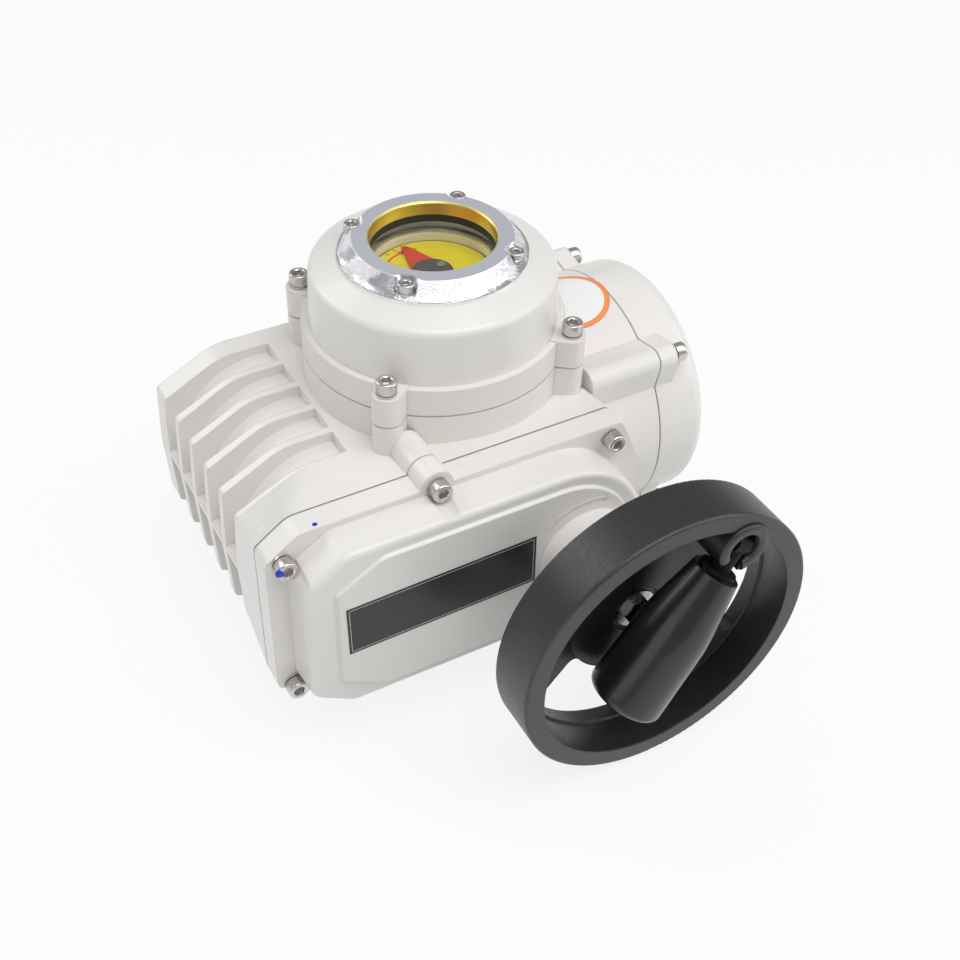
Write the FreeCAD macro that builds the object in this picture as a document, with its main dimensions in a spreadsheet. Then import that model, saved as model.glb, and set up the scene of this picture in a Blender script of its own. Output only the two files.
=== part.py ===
import FreeCAD, Part
import math
import os
import re

import Sketcher

V = FreeCAD.Vector
Rotation = FreeCAD.Rotation

# Rotary valve actuator, in millimetres. The origin is the middle of the valve mounting face, on
# the output axis. +Z is up, the handwheel is on -Y and the round wiring housing is on +X.

# Driving dimensions, one spreadsheet cell each
SIZES = {
    # Gearbox casting
    "axis_height": 80,
    "gearbox_half_height": 50.6,
    "gearbox_left": 128.5,
    "gearbox_right": 72.4,
    "gearbox_corner": 57,
    "seam_depth": 74,
    "back_depth": 66.4,
    "shoulder_reach": 95,
    "shoulder_drop": 16.3,
    "shoulder_round": 33,
    "flange_step": 2.6,
    "flange_taper": 29,
    "flange_corner_reach": 112.5,
    "flange_corner_drop": 9.5,
    "casting_round": 5,
    "side_draft": 1.7,
    # Cooling fins and the motor barrel between them
    "slot_count": 5,
    "slot_pitch": 20.24,
    "slot_width": 15.7,
    "slot_start": 68.5,
    "slot_draft": 1.2,
    "rear_wall": 12.5,
    "parting_rib": 4,
    "barrel_radius": 46,
    # Valve mounting face
    "pedestal_radius": 46,
    "bolt_circle": 70,
    "bolt_radius": 4,
    "bolt_depth": 15,
    "drive_square": 17,
    "drive_depth": 19,
    # Turret
    "turret_radius": 65.5,
    "turret_base_height": 17,
    "turret_flange": 14.6,
    "turret_foot_radius": 61.8,
    "turret_lug_spacing": 50,
    "turret_lug_radius": 6.6,
    "dome_radius": 60.4,
    "dome_height": 33.6,
    "dome_round": 4,
    "dome_drop": 5.4,
    "chamber_radius": 56,
    "chamber_floor": 30,
    "roof_thickness": 6.4,
    "gasket_thickness": 0.6,
    # Window
    "window_radius": 30.6,
    "window_boss_radius": 40,
    "window_boss_height": 13,
    "bezel_radius": 46.2,
    "bezel_cone_radius": 45.3,
    "bezel_flat_radius": 39,
    "bezel_height": 9.4,
    "bezel_rim": 1.6,
    "bezel_screw_radius": 41,
    "bezel_notch": 11,
    "bezel_seat": 3.4,
    "glass_radius": 35,
    "glass_thickness": 5.4,
    "glass_recess": 8,
    "glass_gasket_height": 4,
    "glass_seal_height": 1,
    "glass_clearance": 0.15,
    "dial_radius": 30,
    "dial_thickness": 1,
    "dial_gap": 4.6,
    "pointer_length": 27,
    # Wiring housing and its end cap
    "drum_radius": 66,
    "drum_wall": 7,
    "drum_start": 56,
    "drum_floor": 68,
    "drum_seam": 100.75,
    "cap_length": 30.6,
    "cap_round": 9,
    "cap_wall": 7,
    "cap_lug_spacing": 51,
    "cap_lug_radius": 6.5,
    "cap_lug_start": 60,
    "cap_lug_length": 10.5,
    "conduit_radius": 10,
    "conduit_boss_radius": 14.5,
    "conduit_reach": 71,
    "conduit_spacing": 40,
    # Front cover
    "cover_flange": 13,
    "cover_box": 19,
    "cover_panel": 2,
    "cover_wall": 4.5,
    "cover_draft": 4,
    "cover_left": 119.8,
    "cover_half_height": 50.3,
    "cover_arc_centre": 13,
    "panel_left": 105,
    "panel_half_height": 43,
    "shaft_boss_radius": 26.8,
    "shaft_boss": 3.6,
    "lug_bump_radius": 8.5,
    # Gear train and worm
    "gear_module": 1.5,
    "pinion_teeth": 23,
    "idler_teeth": 46,
    "gear_width": 9,
    "gear_front": 98,
    "gear_backlash": 0.3,
    "worm_module": 1.5,
    "wheel_teeth": 24,
    "worm_pitch_radius": 9,
    "worm_turns": 4,
    "worm_wheel_width": 9,
    "worm_backlash": 0.5,
    "running_fit": 0.05,
    "side_gap": 0.4,
    # Shafts and bearings
    "shaft_radius": 8,
    "bearing_radius": 16,
    "bearing_width": 10,
    "worm_bore": 12.5,
    "journal_radius": 6,
    "bushing_start": 28,
    "stud_radius": 6,
    "stud_shoulder": 9,
    "motor_shaft_radius": 5,
    "motor_radius": 30,
    "motor_length": 104,
    "motor_flange_radius": 36,
    "motor_flange": 4,
    "sleeve_radius": 17,
    "bushing_wall": 3.5,
    "wheel_chamber_radius": 24,
    "wheel_chamber_depth": 16,
    "wheel_hub_radius": 15.4,
    "wheel_seat_radius": 11,
    "neck_radius": 10,
    "spindle_radius": 5,
    "bearing_plate_radius": 32,
    "bearing_plate_thickness": 6,
    # Position switches and feedback
    "cam_radius": 17,
    "cam_lobe_radius": 21,
    "cam_width": 6,
    "cam_pitch": 10,
    "feedback_module": 1,
    "feedback_teeth": 48,
    "sensor_teeth": 16,
    "sensor_radius": 9,
    "feedback_width": 5,
    "pillar_circle": 27.8,
    "pillar_radius": 2,
    "roller_radius": 3,
    # Handwheel
    "wheel_radius": 76.2,
    "rim_width": 27,
    "rim_wall": 9.9,
    "rim_front": 181.5,
    "rim_round": 1.5,
    "web_thickness": 6,
    "web_dish": 8,
    "window_inner": 36,
    "window_half_angle": 31,
    "wheel_hub_outer": 17,
    "wheel_hub_length": 28,
    "pivot_radius": 59,
    "pivot_angle": 56.5,
    "pivot_boss_radius": 13,
    "pivot_bore": 7.5,
    "pivot_pin_radius": 2,
    "pivot_slot": 11.4,
    "grip_depth": 177.4,
    "grip_start": 17,
    "grip_length": 77.5,
    "grip_radius": 18.8,
    "grip_waist": 11.5,
    "neck_rod_radius": 5,
    "grip_spindle_radius": 4,
    # Fasteners
    "m6_head": 5,
    "m6_shank": 2.9,
    "m4_head": 3.5,
    "m4_shank": 1.9,
    "m6_length": 22,
    "m4_length": 11,
    "hole_clearance": 0.2,
}

doc = FreeCAD.newDocument("RotaryActuator")
sheet = doc.addObject("Spreadsheet::Sheet", "Sizes")
for row, (alias, value) in enumerate(SIZES.items(), 1):
    sheet.set(f"A{row}", alias)
    sheet.set(f"B{row}", str(value))
    sheet.setAlias(f"B{row}", alias)
doc.recompute()

# Places that several pieces share, as formulas of the driving dimensions
MID = "axis_height"
DECK = "(axis_height + gearbox_half_height)"
TURRET_SEAM = f"({DECK} + turret_base_height)"
TURRET_BOTTOM = f"({TURRET_SEAM} + gasket_thickness)"
FLANGE_TOP = f"({TURRET_BOTTOM} + turret_flange)"
DOME_TOP = f"({FLANGE_TOP} + dome_height)"
BEZEL_TOP = f"({DOME_TOP} + bezel_height)"
GLASS_LEDGE = f"({DOME_TOP} - glass_recess)"
DIAL_TOP = f"({GLASS_LEDGE} - dial_gap)"
CHAMBER_FLOOR = "(axis_height + chamber_floor)"
PLATE_BOTTOM = f"({CHAMBER_FLOOR} - bearing_plate_thickness)"
COVER_BACK = "(-seam_depth - gasket_thickness)"
FLANGE_FRONT = f"({COVER_BACK} - cover_flange)"
BOX_FRONT = f"({FLANGE_FRONT} - cover_box)"
PANEL_FRONT = f"({BOX_FRONT} - cover_panel)"
BOSS_FRONT = f"({PANEL_FRONT} - shaft_boss)"
GEAR_DISTANCE = "(gear_module * (pinion_teeth + idler_teeth) / 2)"
WORM_X = "(worm_module * wheel_teeth / 2 + worm_pitch_radius)"
IDLER_X = f"({WORM_X} - {GEAR_DISTANCE})"
MOTOR_X = f"({WORM_X} - 2 * {GEAR_DISTANCE})"
SENSOR_DISTANCE = "(feedback_module * (feedback_teeth + sensor_teeth) / 2)"
CAP_BACK = "(drum_seam + gasket_thickness)"
CAP_END = f"({CAP_BACK} + cap_length)"
CAP_LUG_END = f"({CAP_BACK} + cap_lug_length)"
RIM_BACK = "(rim_width - rim_front)"
WEB_FRONT = f"({RIM_BACK} - web_thickness - 2)"
HUB_FRONT = f"({WEB_FRONT} + web_dish)"
DIAGONAL = "0.7071068"

parts = []


def bound(formula):
    """The formula with each size name written as its spreadsheet cell."""
    return re.sub(r"[a-z][a-z0-9_]*",
                  lambda word: f"Sizes.{word[0]}" if word[0] in SIZES else word[0], str(formula))


def number(formula):
    """The formula's value at the present sizes."""
    return float(sheet.evalExpression(bound(formula)))


def tie(item, **formulas):
    """Binds properties of an object to formulas; x, y and z are its place."""
    for name, formula in formulas.items():
        path = f"Placement.Base.{name}" if name in ("x", "y", "z") else name
        item.setExpression(path, bound(formula))


def keep(item, label):
    """Makes an object a sub-part with the given name."""
    item.Label = label
    parts.append(item)
    return item


# Sketches and body features

def new_body(name):
    return doc.addObject("PartDesign::Body", name)


def sketch_on(body, plane, at="0"):
    """A sketch on one of the body's origin planes, moved along the global axis across it."""
    sketch = body.newObject("Sketcher::SketchObject", "Sketch")
    role = f"{plane}_Plane"
    support = [item for item in body.Origin.OriginFeatures if item.Role == role][0]
    sketch.AttachmentSupport = [(support, "")]
    sketch.MapMode = "FlatFace"
    sign = "-" if plane == "XZ" else ""
    sketch.setExpression("AttachmentOffset.Base.z", bound(f"{sign}({at})"))
    return sketch


def place_point(constraints, formulas, geometry, end, across, up):
    for kind, formula in (("DistanceX", across), ("DistanceY", up)):
        constraints.append(Sketcher.Constraint(kind, -1, 1, geometry, end, number(formula)))
        formulas.append((len(constraints) - 1, formula))


def outline(sketch, corners):
    """A closed outline through corners (across, up, round); each round is a tangent arc."""
    corners = [tuple(corner) + ("0",) * (3 - len(corner)) for corner in corners]
    points = [V(number(across), number(up), 0) for across, up, _ in corners]
    radii = [number(radius) for _, _, radius in corners]
    count = len(points)
    starts, ends, arcs = [], [], {}
    for i, point in enumerate(points):
        back = (points[i - 1] - point).normalize()
        ahead = (points[(i + 1) % count] - point).normalize()
        if radii[i] == 0:
            starts.append(point)
            ends.append(point)
            continue
        half = back.getAngle(ahead) / 2
        reach = radii[i] / math.tan(half)
        ends.append(point + back * reach)
        starts.append(point + ahead * reach)
        centre = point + (back + ahead).normalize() * (radii[i] / math.sin(half))
        turns_left = (-back).cross(ahead).z > 0
        first, last = (ends[i], starts[i]) if turns_left else (starts[i], ends[i])
        angles = [math.atan2(end.y - centre.y, end.x - centre.x) for end in (first, last)]
        arcs[i] = (centre, angles, turns_left)
    constraints, formulas = [], []
    lines = [sketch.addGeometry(Part.LineSegment(starts[i], ends[(i + 1) % count]), False)
             for i in range(count)]
    for i, (across, up, radius) in enumerate(corners):
        before, after = lines[i - 1], lines[i]
        if i not in arcs:
            constraints.append(Sketcher.Constraint("Coincident", before, 2, after, 1))
            place_point(constraints, formulas, after, 1, across, up)
            continue
        centre, angles, turns_left = arcs[i]
        circle = Part.Circle(centre, V(0, 0, 1), radii[i])
        arc = sketch.addGeometry(Part.ArcOfCircle(circle, *angles), False)
        first, last = (1, 2) if turns_left else (2, 1)
        corner = sketch.addGeometry(Part.Point(points[i]), True)
        place_point(constraints, formulas, corner, 1, across, up)
        constraints += [Sketcher.Constraint("PointOnObject", corner, 1, before),
                        Sketcher.Constraint("PointOnObject", corner, 1, after),
                        Sketcher.Constraint("Tangent", before, 2, arc, first),
                        Sketcher.Constraint("Tangent", after, 1, arc, last),
                        Sketcher.Constraint("Radius", arc, radii[i])]
        formulas.append((len(constraints) - 1, radius))
    bind_constraints(sketch, constraints, formulas)


def circle(sketch, across, up, radius):
    """A circle tied to its centre and radius."""
    centre = V(number(across), number(up), 0)
    item = sketch.addGeometry(Part.Circle(centre, V(0, 0, 1), number(radius)), False)
    constraints, formulas = [], []
    place_point(constraints, formulas, item, 3, across, up)
    constraints.append(Sketcher.Constraint("Radius", item, number(radius)))
    formulas.append((2, radius))
    bind_constraints(sketch, constraints, formulas)


def sector(sketch, inner, outer, middle, half, corner):
    """A ring sector about the sketch's origin, with its four corners rounded."""
    low, high = number(f"{middle} - {half}"), number(f"{middle} + {half}")
    small = number(corner)

    def arc(centre, radius, first, last):
        angles = math.radians(first), math.radians(last)
        shape = Part.ArcOfCircle(Part.Circle(centre, V(0, 0, 1), radius), *angles)
        return sketch.addGeometry(shape, False)

    def polar(distance, angle):
        return V(distance * math.cos(math.radians(angle)), distance * math.sin(math.radians(angle)))

    near, far = number(inner) + small, number(outer) - small
    near_turn, far_turn = (math.degrees(math.asin(small / reach)) for reach in (near, far))
    ends = [math.sqrt(reach ** 2 - small ** 2) for reach in (near, far)]
    inside = arc(V(), number(inner), low + near_turn, high - near_turn)
    outside = arc(V(), number(outer), low + far_turn, high - far_turn)
    sides = [sketch.addGeometry(Part.LineSegment(polar(ends[0], angle), polar(ends[1], angle)), False)
             for angle in (low, high)]
    corners = [arc(polar(near, low + near_turn), small, low + near_turn + 180, low + 270),
               arc(polar(far, low + far_turn), small, low - 90, low + far_turn),
               arc(polar(far, high - far_turn), small, high - far_turn, high + 90),
               arc(polar(near, high - near_turn), small, high + 90, high - near_turn + 180)]
    joints = [(inside, 1, corners[0], 1), (corners[0], 2, sides[0], 1),
              (sides[0], 2, corners[1], 1), (corners[1], 2, outside, 1),
              (outside, 2, corners[2], 1), (corners[2], 2, sides[1], 2),
              (sides[1], 1, corners[3], 1), (corners[3], 2, inside, 2)]
    constraints = [Sketcher.Constraint("Tangent", *joint) for joint in joints]
    constraints += [Sketcher.Constraint("Coincident", item, 3, -1, 1) for item in (inside, outside)]
    constraints += [Sketcher.Constraint("PointOnObject", -1, 1, side) for side in sides]
    formulas = []
    for item, radius in [(inside, inner), (outside, outer)] + [(item, corner) for item in corners]:
        constraints.append(Sketcher.Constraint("Radius", item, number(radius)))
        formulas.append((len(constraints) - 1, radius))
    for side, sign in zip(sides, "-+"):
        angle = f"({middle} {sign} ({half})) * 1 deg"
        constraints.append(Sketcher.Constraint("Angle", side, number(angle) * math.pi / 180))
        formulas.append((len(constraints) - 1, angle))
    bind_constraints(sketch, constraints, formulas)


def bind_constraints(sketch, constraints, formulas):
    """Adds constraints and ties some of them, counted from the first new one, to formulas."""
    start = sketch.ConstraintCount
    sketch.addConstraint(constraints)
    for index, formula in formulas:
        sketch.setExpression(f"Constraints[{start + index}]", bound(formula))


def extrude(body, kind, sketch, length, toward, draft=None):
    """A pad or pocket from the sketch toward +1 or -1 along the global axis."""
    feature = body.newObject(f"PartDesign::{kind}", kind)
    feature.Refine = False
    feature.Profile = sketch
    feature.setExpression("Length", bound(length))
    normal = sketch.Placement.Rotation.multVec(V(0, 0, 1))
    along = 1 if max(normal, key=abs) > 0 else -1
    if kind == "Pocket":
        along = -along
    feature.Reversed = toward != along
    if draft is not None:
        feature.setExpression("TaperAngle", bound(draft))
    doc.recompute()
    body.Tip = feature
    return feature


def pad(body, sketch, length, toward, draft=None):
    return extrude(body, "Pad", sketch, length, toward, draft)


def pocket(body, sketch, length, toward, draft=None):
    """A cut that must take something away."""
    before = body.Tip.Shape.Volume
    feature = extrude(body, "Pocket", sketch, length, toward, draft)
    if feature.Shape.Volume > before - 0.001:
        raise RuntimeError(f"A pocket of {body.Label} cuts nothing")
    return feature


def turn(body, plane, axis, corners):
    """A body of revolution from an outline, about a sketch axis."""
    sketch = sketch_on(body, plane)
    outline(sketch, corners)
    doc.recompute()
    feature = body.newObject("PartDesign::Revolution", "Revolution")
    feature.Profile = sketch
    feature.ReferenceAxis = (sketch, [axis])
    feature.Angle = 360
    doc.recompute()
    body.Tip = feature
    return feature


def repeat_round(body, features, count, role="Z_Axis"):
    """Repeats features round one of the body's own axes."""
    pattern = body.newObject("PartDesign::PolarPattern", "Pattern")
    pattern.Originals = features
    axis = [item for item in body.Origin.OriginFeatures if item.Role == role][0]
    pattern.Axis = (axis, [""])
    pattern.Angle = 360
    pattern.Occurrences = int(number(count))
    pattern.Refine = False
    body.Tip = pattern
    doc.recompute()
    return pattern


def repeat_along(body, features, role, pitch, count, backward=False):
    """Repeats features along one of the body's own axes."""
    pattern = body.newObject("PartDesign::LinearPattern", "Pattern")
    pattern.Originals = features
    axis = [item for item in body.Origin.OriginFeatures if item.Role == role][0]
    pattern.Direction = (axis, [""])
    pattern.Reversed = backward
    pattern.Mode = "Spacing"
    pattern.setExpression("Offset", bound(pitch))
    pattern.setExpression("Occurrences", bound(count))
    pattern.Refine = False
    body.Tip = pattern
    doc.recompute()
    return pattern


def fillet(body, names, radius):
    """Rounds the named edges or faces of the body's tip."""
    base = body.Tip
    feature = body.newObject("PartDesign::Fillet", "Fillet")
    feature.Base = (base, names)
    feature.setExpression("Radius", bound(radius))
    body.Tip = feature
    doc.recompute()
    return feature


def flat_face(body, axis, place):
    """The largest flat face across an axis at one place."""
    best = None
    for index, face in enumerate(body.Tip.Shape.Faces, 1):
        box = face.BoundBox
        low = getattr(box, f"{axis.upper()}Min")
        high = getattr(box, f"{axis.upper()}Max")
        if abs(low - number(place)) < 0.01 and abs(high - number(place)) < 0.01:
            if best is None or face.Area > best[0]:
                best = (face.Area, f"Face{index}")
    return [best[1]]


def mirrored(corners):
    """The upper half of an outline, then the same below the axis height."""
    flipped = [(across, f"2 * axis_height - ({up})", *rest) for across, up, *rest in corners]
    middle = [corner for corner in corners if corner[1] == MID]
    return corners + [corner for corner in reversed(flipped)
                      if corner[0] not in [same[0] for same in middle]]


# Simple solids

AXES = {"+X": Rotation(V(0, 1, 0), 90), "-X": Rotation(V(0, 1, 0), -90),
        "+Y": Rotation(V(1, 0, 0), -90), "-Y": Rotation(V(1, 0, 0), 90),
        "+Z": Rotation(), "-Z": Rotation(V(1, 0, 0), 180)}


def rod(name, radius, length, x, y, z, along="+Z"):
    item = doc.addObject("Part::Cylinder", name)
    item.Placement.Rotation = AXES[along]
    tie(item, Radius=radius, Height=length, x=x, y=y, z=z)
    return item


def block(name, length, width, height, x, y, z):
    """A box with its middle at x, y and its bottom at z."""
    item = doc.addObject("Part::Box", name)
    tie(item, Length=length, Width=width, Height=height,
        x=f"{x} - ({length}) / 2", y=f"{y} - ({width}) / 2", z=z)
    return item


def fuse(name, items):
    item = doc.addObject("Part::MultiFuse", name)
    item.Shapes = items
    return item


def cut(name, base, tool):
    item = doc.addObject("Part::Cut", name)
    item.Base = base
    item.Tool = tool
    return item


def tube(name, outer, inner, length, x, y, z, along="+Z"):
    """A ring whose bore runs past both of its faces."""
    solid = rod(f"{name}Solid", outer, length, x, y, z, along)
    hole = rod(f"{name}Hole", inner, f"{length} + 2", x, y, z, along)
    axis = along[1].lower()
    sign = "-" if along[0] == "+" else "+"
    tie(hole, **{axis: f"{dict(x=x, y=y, z=z)[axis]} {sign} 1"})
    return cut(name, solid, hole)


def copies(label, master, places, along="+Z"):
    """One node of separate solids: a link to the master at each place."""
    links = []
    for x, y, z, *own in places:
        link = doc.addObject("App::Link", f"{label}_copy")
        link.LinkedObject = master
        link.LinkPlacement = FreeCAD.Placement(V(), AXES[own[0] if own else along])
        for axis, formula in zip("xyz", (x, y, z)):
            link.setExpression(f"LinkPlacement.Base.{axis}", bound(formula))
        links.append(link)
    group = doc.addObject("Part::Compound", f"{label}_group")
    group.Links = links
    return keep(group, label)


def socket_screw(name, head, head_height, shank, shank_length, socket):
    """A socket head screw along +Z, with the underside of its head at the origin."""
    body = new_body(name)
    turn(body, "XZ", "V_Axis", [
        ("0", f"-({shank_length})"), (shank, f"-({shank_length})"), (shank, "0"), (head, "0"),
        (head, head_height), ("0", head_height)])
    sketch = sketch_on(body, "XY", head_height)
    hexagon(sketch, f"{socket} / 1.732")
    pocket(body, sketch, f"{head_height} / 2", -1)
    return body


# Masters for the fasteners

M6_HEIGHT = "(2 * m6_head * 0.6)"
M4_HEIGHT = "(2 * m4_head * 0.57)"
M6_WASHER = "1.7"
M4_WASHER = "1.2"


# Places of the fasteners

TURRET_SCREWS = [(f"{a} * turret_lug_spacing", f"{b} * turret_lug_spacing")
                 for a, b in ((1, 1), (-1, 1), (-1, -1), (1, -1))]
BEZEL_SCREWS = [(f"{a} * bezel_screw_radius * {DIAGONAL}", f"{b} * bezel_screw_radius * {DIAGONAL}")
                for a, b in ((1, 1), (-1, 1), (-1, -1), (1, -1))]
CAP_SCREWS = [(f"{a} * cap_lug_spacing", f"axis_height + {b} * cap_lug_spacing")
              for a, b in ((1, 1), (-1, 1), (-1, -1), (1, -1))]
COVER_SCREWS = [(x, f"axis_height {side} ({rise})")
                for side in "+-"
                for x, rise in (("-gearbox_left + 7.1", "gearbox_half_height - 10.1"),
                                ("-44", "gearbox_half_height + 3.9"),
                                ("gearbox_corner - 6", "gearbox_half_height - 4"))]
MOTOR_SCREWS = [(f"{MOTOR_X} + {a} * (motor_radius + 2.8) * {DIAGONAL}",
                 f"axis_height + {b} * (motor_radius + 2.8) * {DIAGONAL}")
                for a, b in ((1, 1), (-1, 1), (-1, -1), (1, -1))]
CENTRE = [("0", "0")]
CONDUITS = [("(drum_floor + drum_seam) / 2", f"axis_height {side} conduit_spacing / 2")
            for side in "+-"]
SEAM_RIDGES = [("-43.5", f"axis_height {side} (gearbox_half_height + 2.4)") for side in "+-"]
MOUNT_BOLTS = [(f"{a} * bolt_circle / 2 * {DIAGONAL}", f"{b} * bolt_circle / 2 * {DIAGONAL}")
               for a, b in ((1, 1), (-1, 1), (-1, -1), (1, -1))]
PLATE_SCREWS = [(f"(bearing_plate_radius - 5) * cos({a} * 1 deg)",
                 f"(bearing_plate_radius - 5) * sin({a} * 1 deg)") for a in (150, 270, 30)]


# Outlines of the gearbox

FIN_OUTLINE = mirrored([
    ("-gearbox_left", MID),
    ("-gearbox_left + side_draft", f"{DECK} - shoulder_drop", "2.5"),
    ("-shoulder_reach", DECK, "shoulder_round"),
    ("gearbox_corner", DECK, "casting_round"),
    ("gearbox_right", "axis_height + 19", "40")])
FLANGE_OUTLINE = mirrored([
    ("-gearbox_left - 0.8", MID),
    ("-gearbox_left - 0.8 + 0.01", f"{DECK} - flange_corner_drop", "casting_round"),
    ("-flange_corner_reach", f"{DECK} + flange_step", "12"),
    ("gearbox_corner + 1", f"{DECK} + flange_step", "casting_round"),
    ("gearbox_right", "axis_height + 20", "40")])
INNER_OUTLINE = mirrored([
    ("-cover_left + cover_wall + 0.5", f"{DECK} - 19", "8"),
    ("-cover_left + cover_wall + 20", f"{DECK} - cover_wall - 2.5", "10"),
    ("cover_arc_centre + cover_half_height - cover_wall - 2",
     "axis_height + cover_half_height - cover_wall - 2", "cover_half_height - cover_wall - 2.3")])


def ear_outline(sketch, ends, quarter=(1, 1), middle="0"):
    """One lug across a diagonal, from corners (out from the middle, aside, round)."""
    right, over = quarter
    outline(sketch, [(f"({right} * ({out}) - {over} * ({side})) * {DIAGONAL}",
                      f"{middle} + ({over} * ({out}) + {right} * ({side})) * {DIAGONAL}", radius)
                     for out, side, radius in ends])


def turret_ears(body, at, length, toward):
    """One turret lug, repeated at the four corners."""
    sketch = sketch_on(body, "XY", at)
    base = "turret_radius - 7"
    tip = f"turret_lug_spacing / {DIAGONAL} + turret_lug_radius"
    ear_outline(sketch, [(base, "-(turret_lug_radius + 2)", "0"), (tip, "-turret_lug_radius", "6.2"),
                         (tip, "turret_lug_radius", "6.2"), (base, "turret_lug_radius + 2", "0")])
    ear = pad(body, sketch, length, toward)
    repeat_round(body, [ear], 4)


def drum_ears(body, at, length, middle):
    """The four ridges of the cap screws, their flanks running out onto the drum."""
    sketch = sketch_on(body, "YZ", at)
    tip = f"cap_lug_spacing / {DIAGONAL} + cap_lug_radius"
    half = "cap_lug_radius * 0.6"
    foot = "cap_lug_radius * 2.3"
    for quarter in ((1, 1), (-1, 1), (-1, -1), (1, -1)):
        ear_outline(sketch, [("drum_radius - 4", f"-{foot}", "0"), (tip, f"-{half}", "cap_lug_radius"),
                             (tip, half, "cap_lug_radius"), ("drum_radius - 4", foot, "0")],
                    quarter, middle)
    pad(body, sketch, length, 1)


def round_feature(body, kind, plane, at, places, radius, length, toward, draft=None):
    """A pad or pocket of one circle, or of equal circles at several places."""
    sketch = sketch_on(body, plane, at)
    for across, up in places:
        circle(sketch, across, up, radius)
    return kind(body, sketch, length, toward, draft)


def round_pad(body, plane, at, places, radius, length, toward):
    return round_feature(body, pad, plane, at, places, radius, length, toward)


def round_pocket(body, plane, at, places, radius, length, toward):
    return round_feature(body, pocket, plane, at, places, radius, length, toward)


def hexagon(sketch, radius):
    """A hexagon about the sketch's origin, by the distance of its corners."""
    sides = [f"{side} * 60 * 1 deg" for side in range(6)]
    outline(sketch, [(f"{radius} * cos({side})", f"{radius} * sin({side})") for side in sides])


def make_housing():
    """Finned gearbox casting with the turret base, the round wiring housing and the pedestal."""
    body = new_body("housing")
    sketch = sketch_on(body, "XZ", "back_depth")
    outline(sketch, FIN_OUTLINE)
    pad(body, sketch, "back_depth + seam_depth", -1)
    # Front block, flaring to the cover flange
    front = sketch_on(body, "XZ", "-seam_depth")
    outline(front, FLANGE_OUTLINE)
    rear = sketch_on(body, "XZ", "flange_taper - seam_depth")
    outline(rear, FIN_OUTLINE)
    loft = body.newObject("PartDesign::AdditiveLoft", "Loft")
    loft.Profile = front
    loft.Sections = [rear]
    loft.Ruled = True
    loft.Refine = False
    doc.recompute()
    body.Tip = loft
    # Cooling slots from above and below, leaving the rib at the parting plane
    for at, toward in ((DECK, -1), ("axis_height - gearbox_half_height", 1)):
        sketch = sketch_on(body, "XY", at)
        back = "(back_depth - rear_wall)"
        outline(sketch, [("-gearbox_left - 6", f"{back} - slot_width"),
                         ("-slot_start", f"{back} - slot_width"),
                         ("-slot_start", back),
                         ("-gearbox_left - 6", back)])
        slot = pocket(body, sketch, "gearbox_half_height - parting_rib / 2", toward, "-slot_draft")
        repeat_along(body, [slot], "Y_Axis", "slot_pitch", "slot_count", backward=True)
    # Round barrel that the motor lies in, seen between the fins
    round_pad(body, "XZ", "back_depth - rear_wall + 1", [(MOTOR_X, MID)], "barrel_radius",
              "back_depth - rear_wall + seam_depth - 10", -1)
    # Turret base ring and its lugs
    round_pad(body, "XY", "axis_height + 20", CENTRE, "turret_radius",
              f"{TURRET_SEAM} - axis_height - 20", 1)
    turret_ears(body, TURRET_SEAM, "turret_base_height + 3", -1)
    # Round wiring housing with its four screw ridges, and the cable entries at its back
    round_pad(body, "YZ", "drum_start", [("0", MID)], "drum_radius", "drum_seam - drum_start", 1)
    drum_ears(body, "cap_lug_start", "drum_seam - cap_lug_start", MID)
    round_pad(body, "XZ", "conduit_reach", CONDUITS, "conduit_boss_radius", "20", -1)
    # Ridges of the screws at the middle of the cover seam
    round_pad(body, "XZ", "-seam_depth", SEAM_RIDGES, "lug_bump_radius", "20", 1)
    # Pedestal under the gearbox
    round_pad(body, "XY", "0", CENTRE, "pedestal_radius",
              "axis_height - gearbox_half_height + 8", 1)
    hollow_housing(body)
    return keep(body, "housing")


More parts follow.
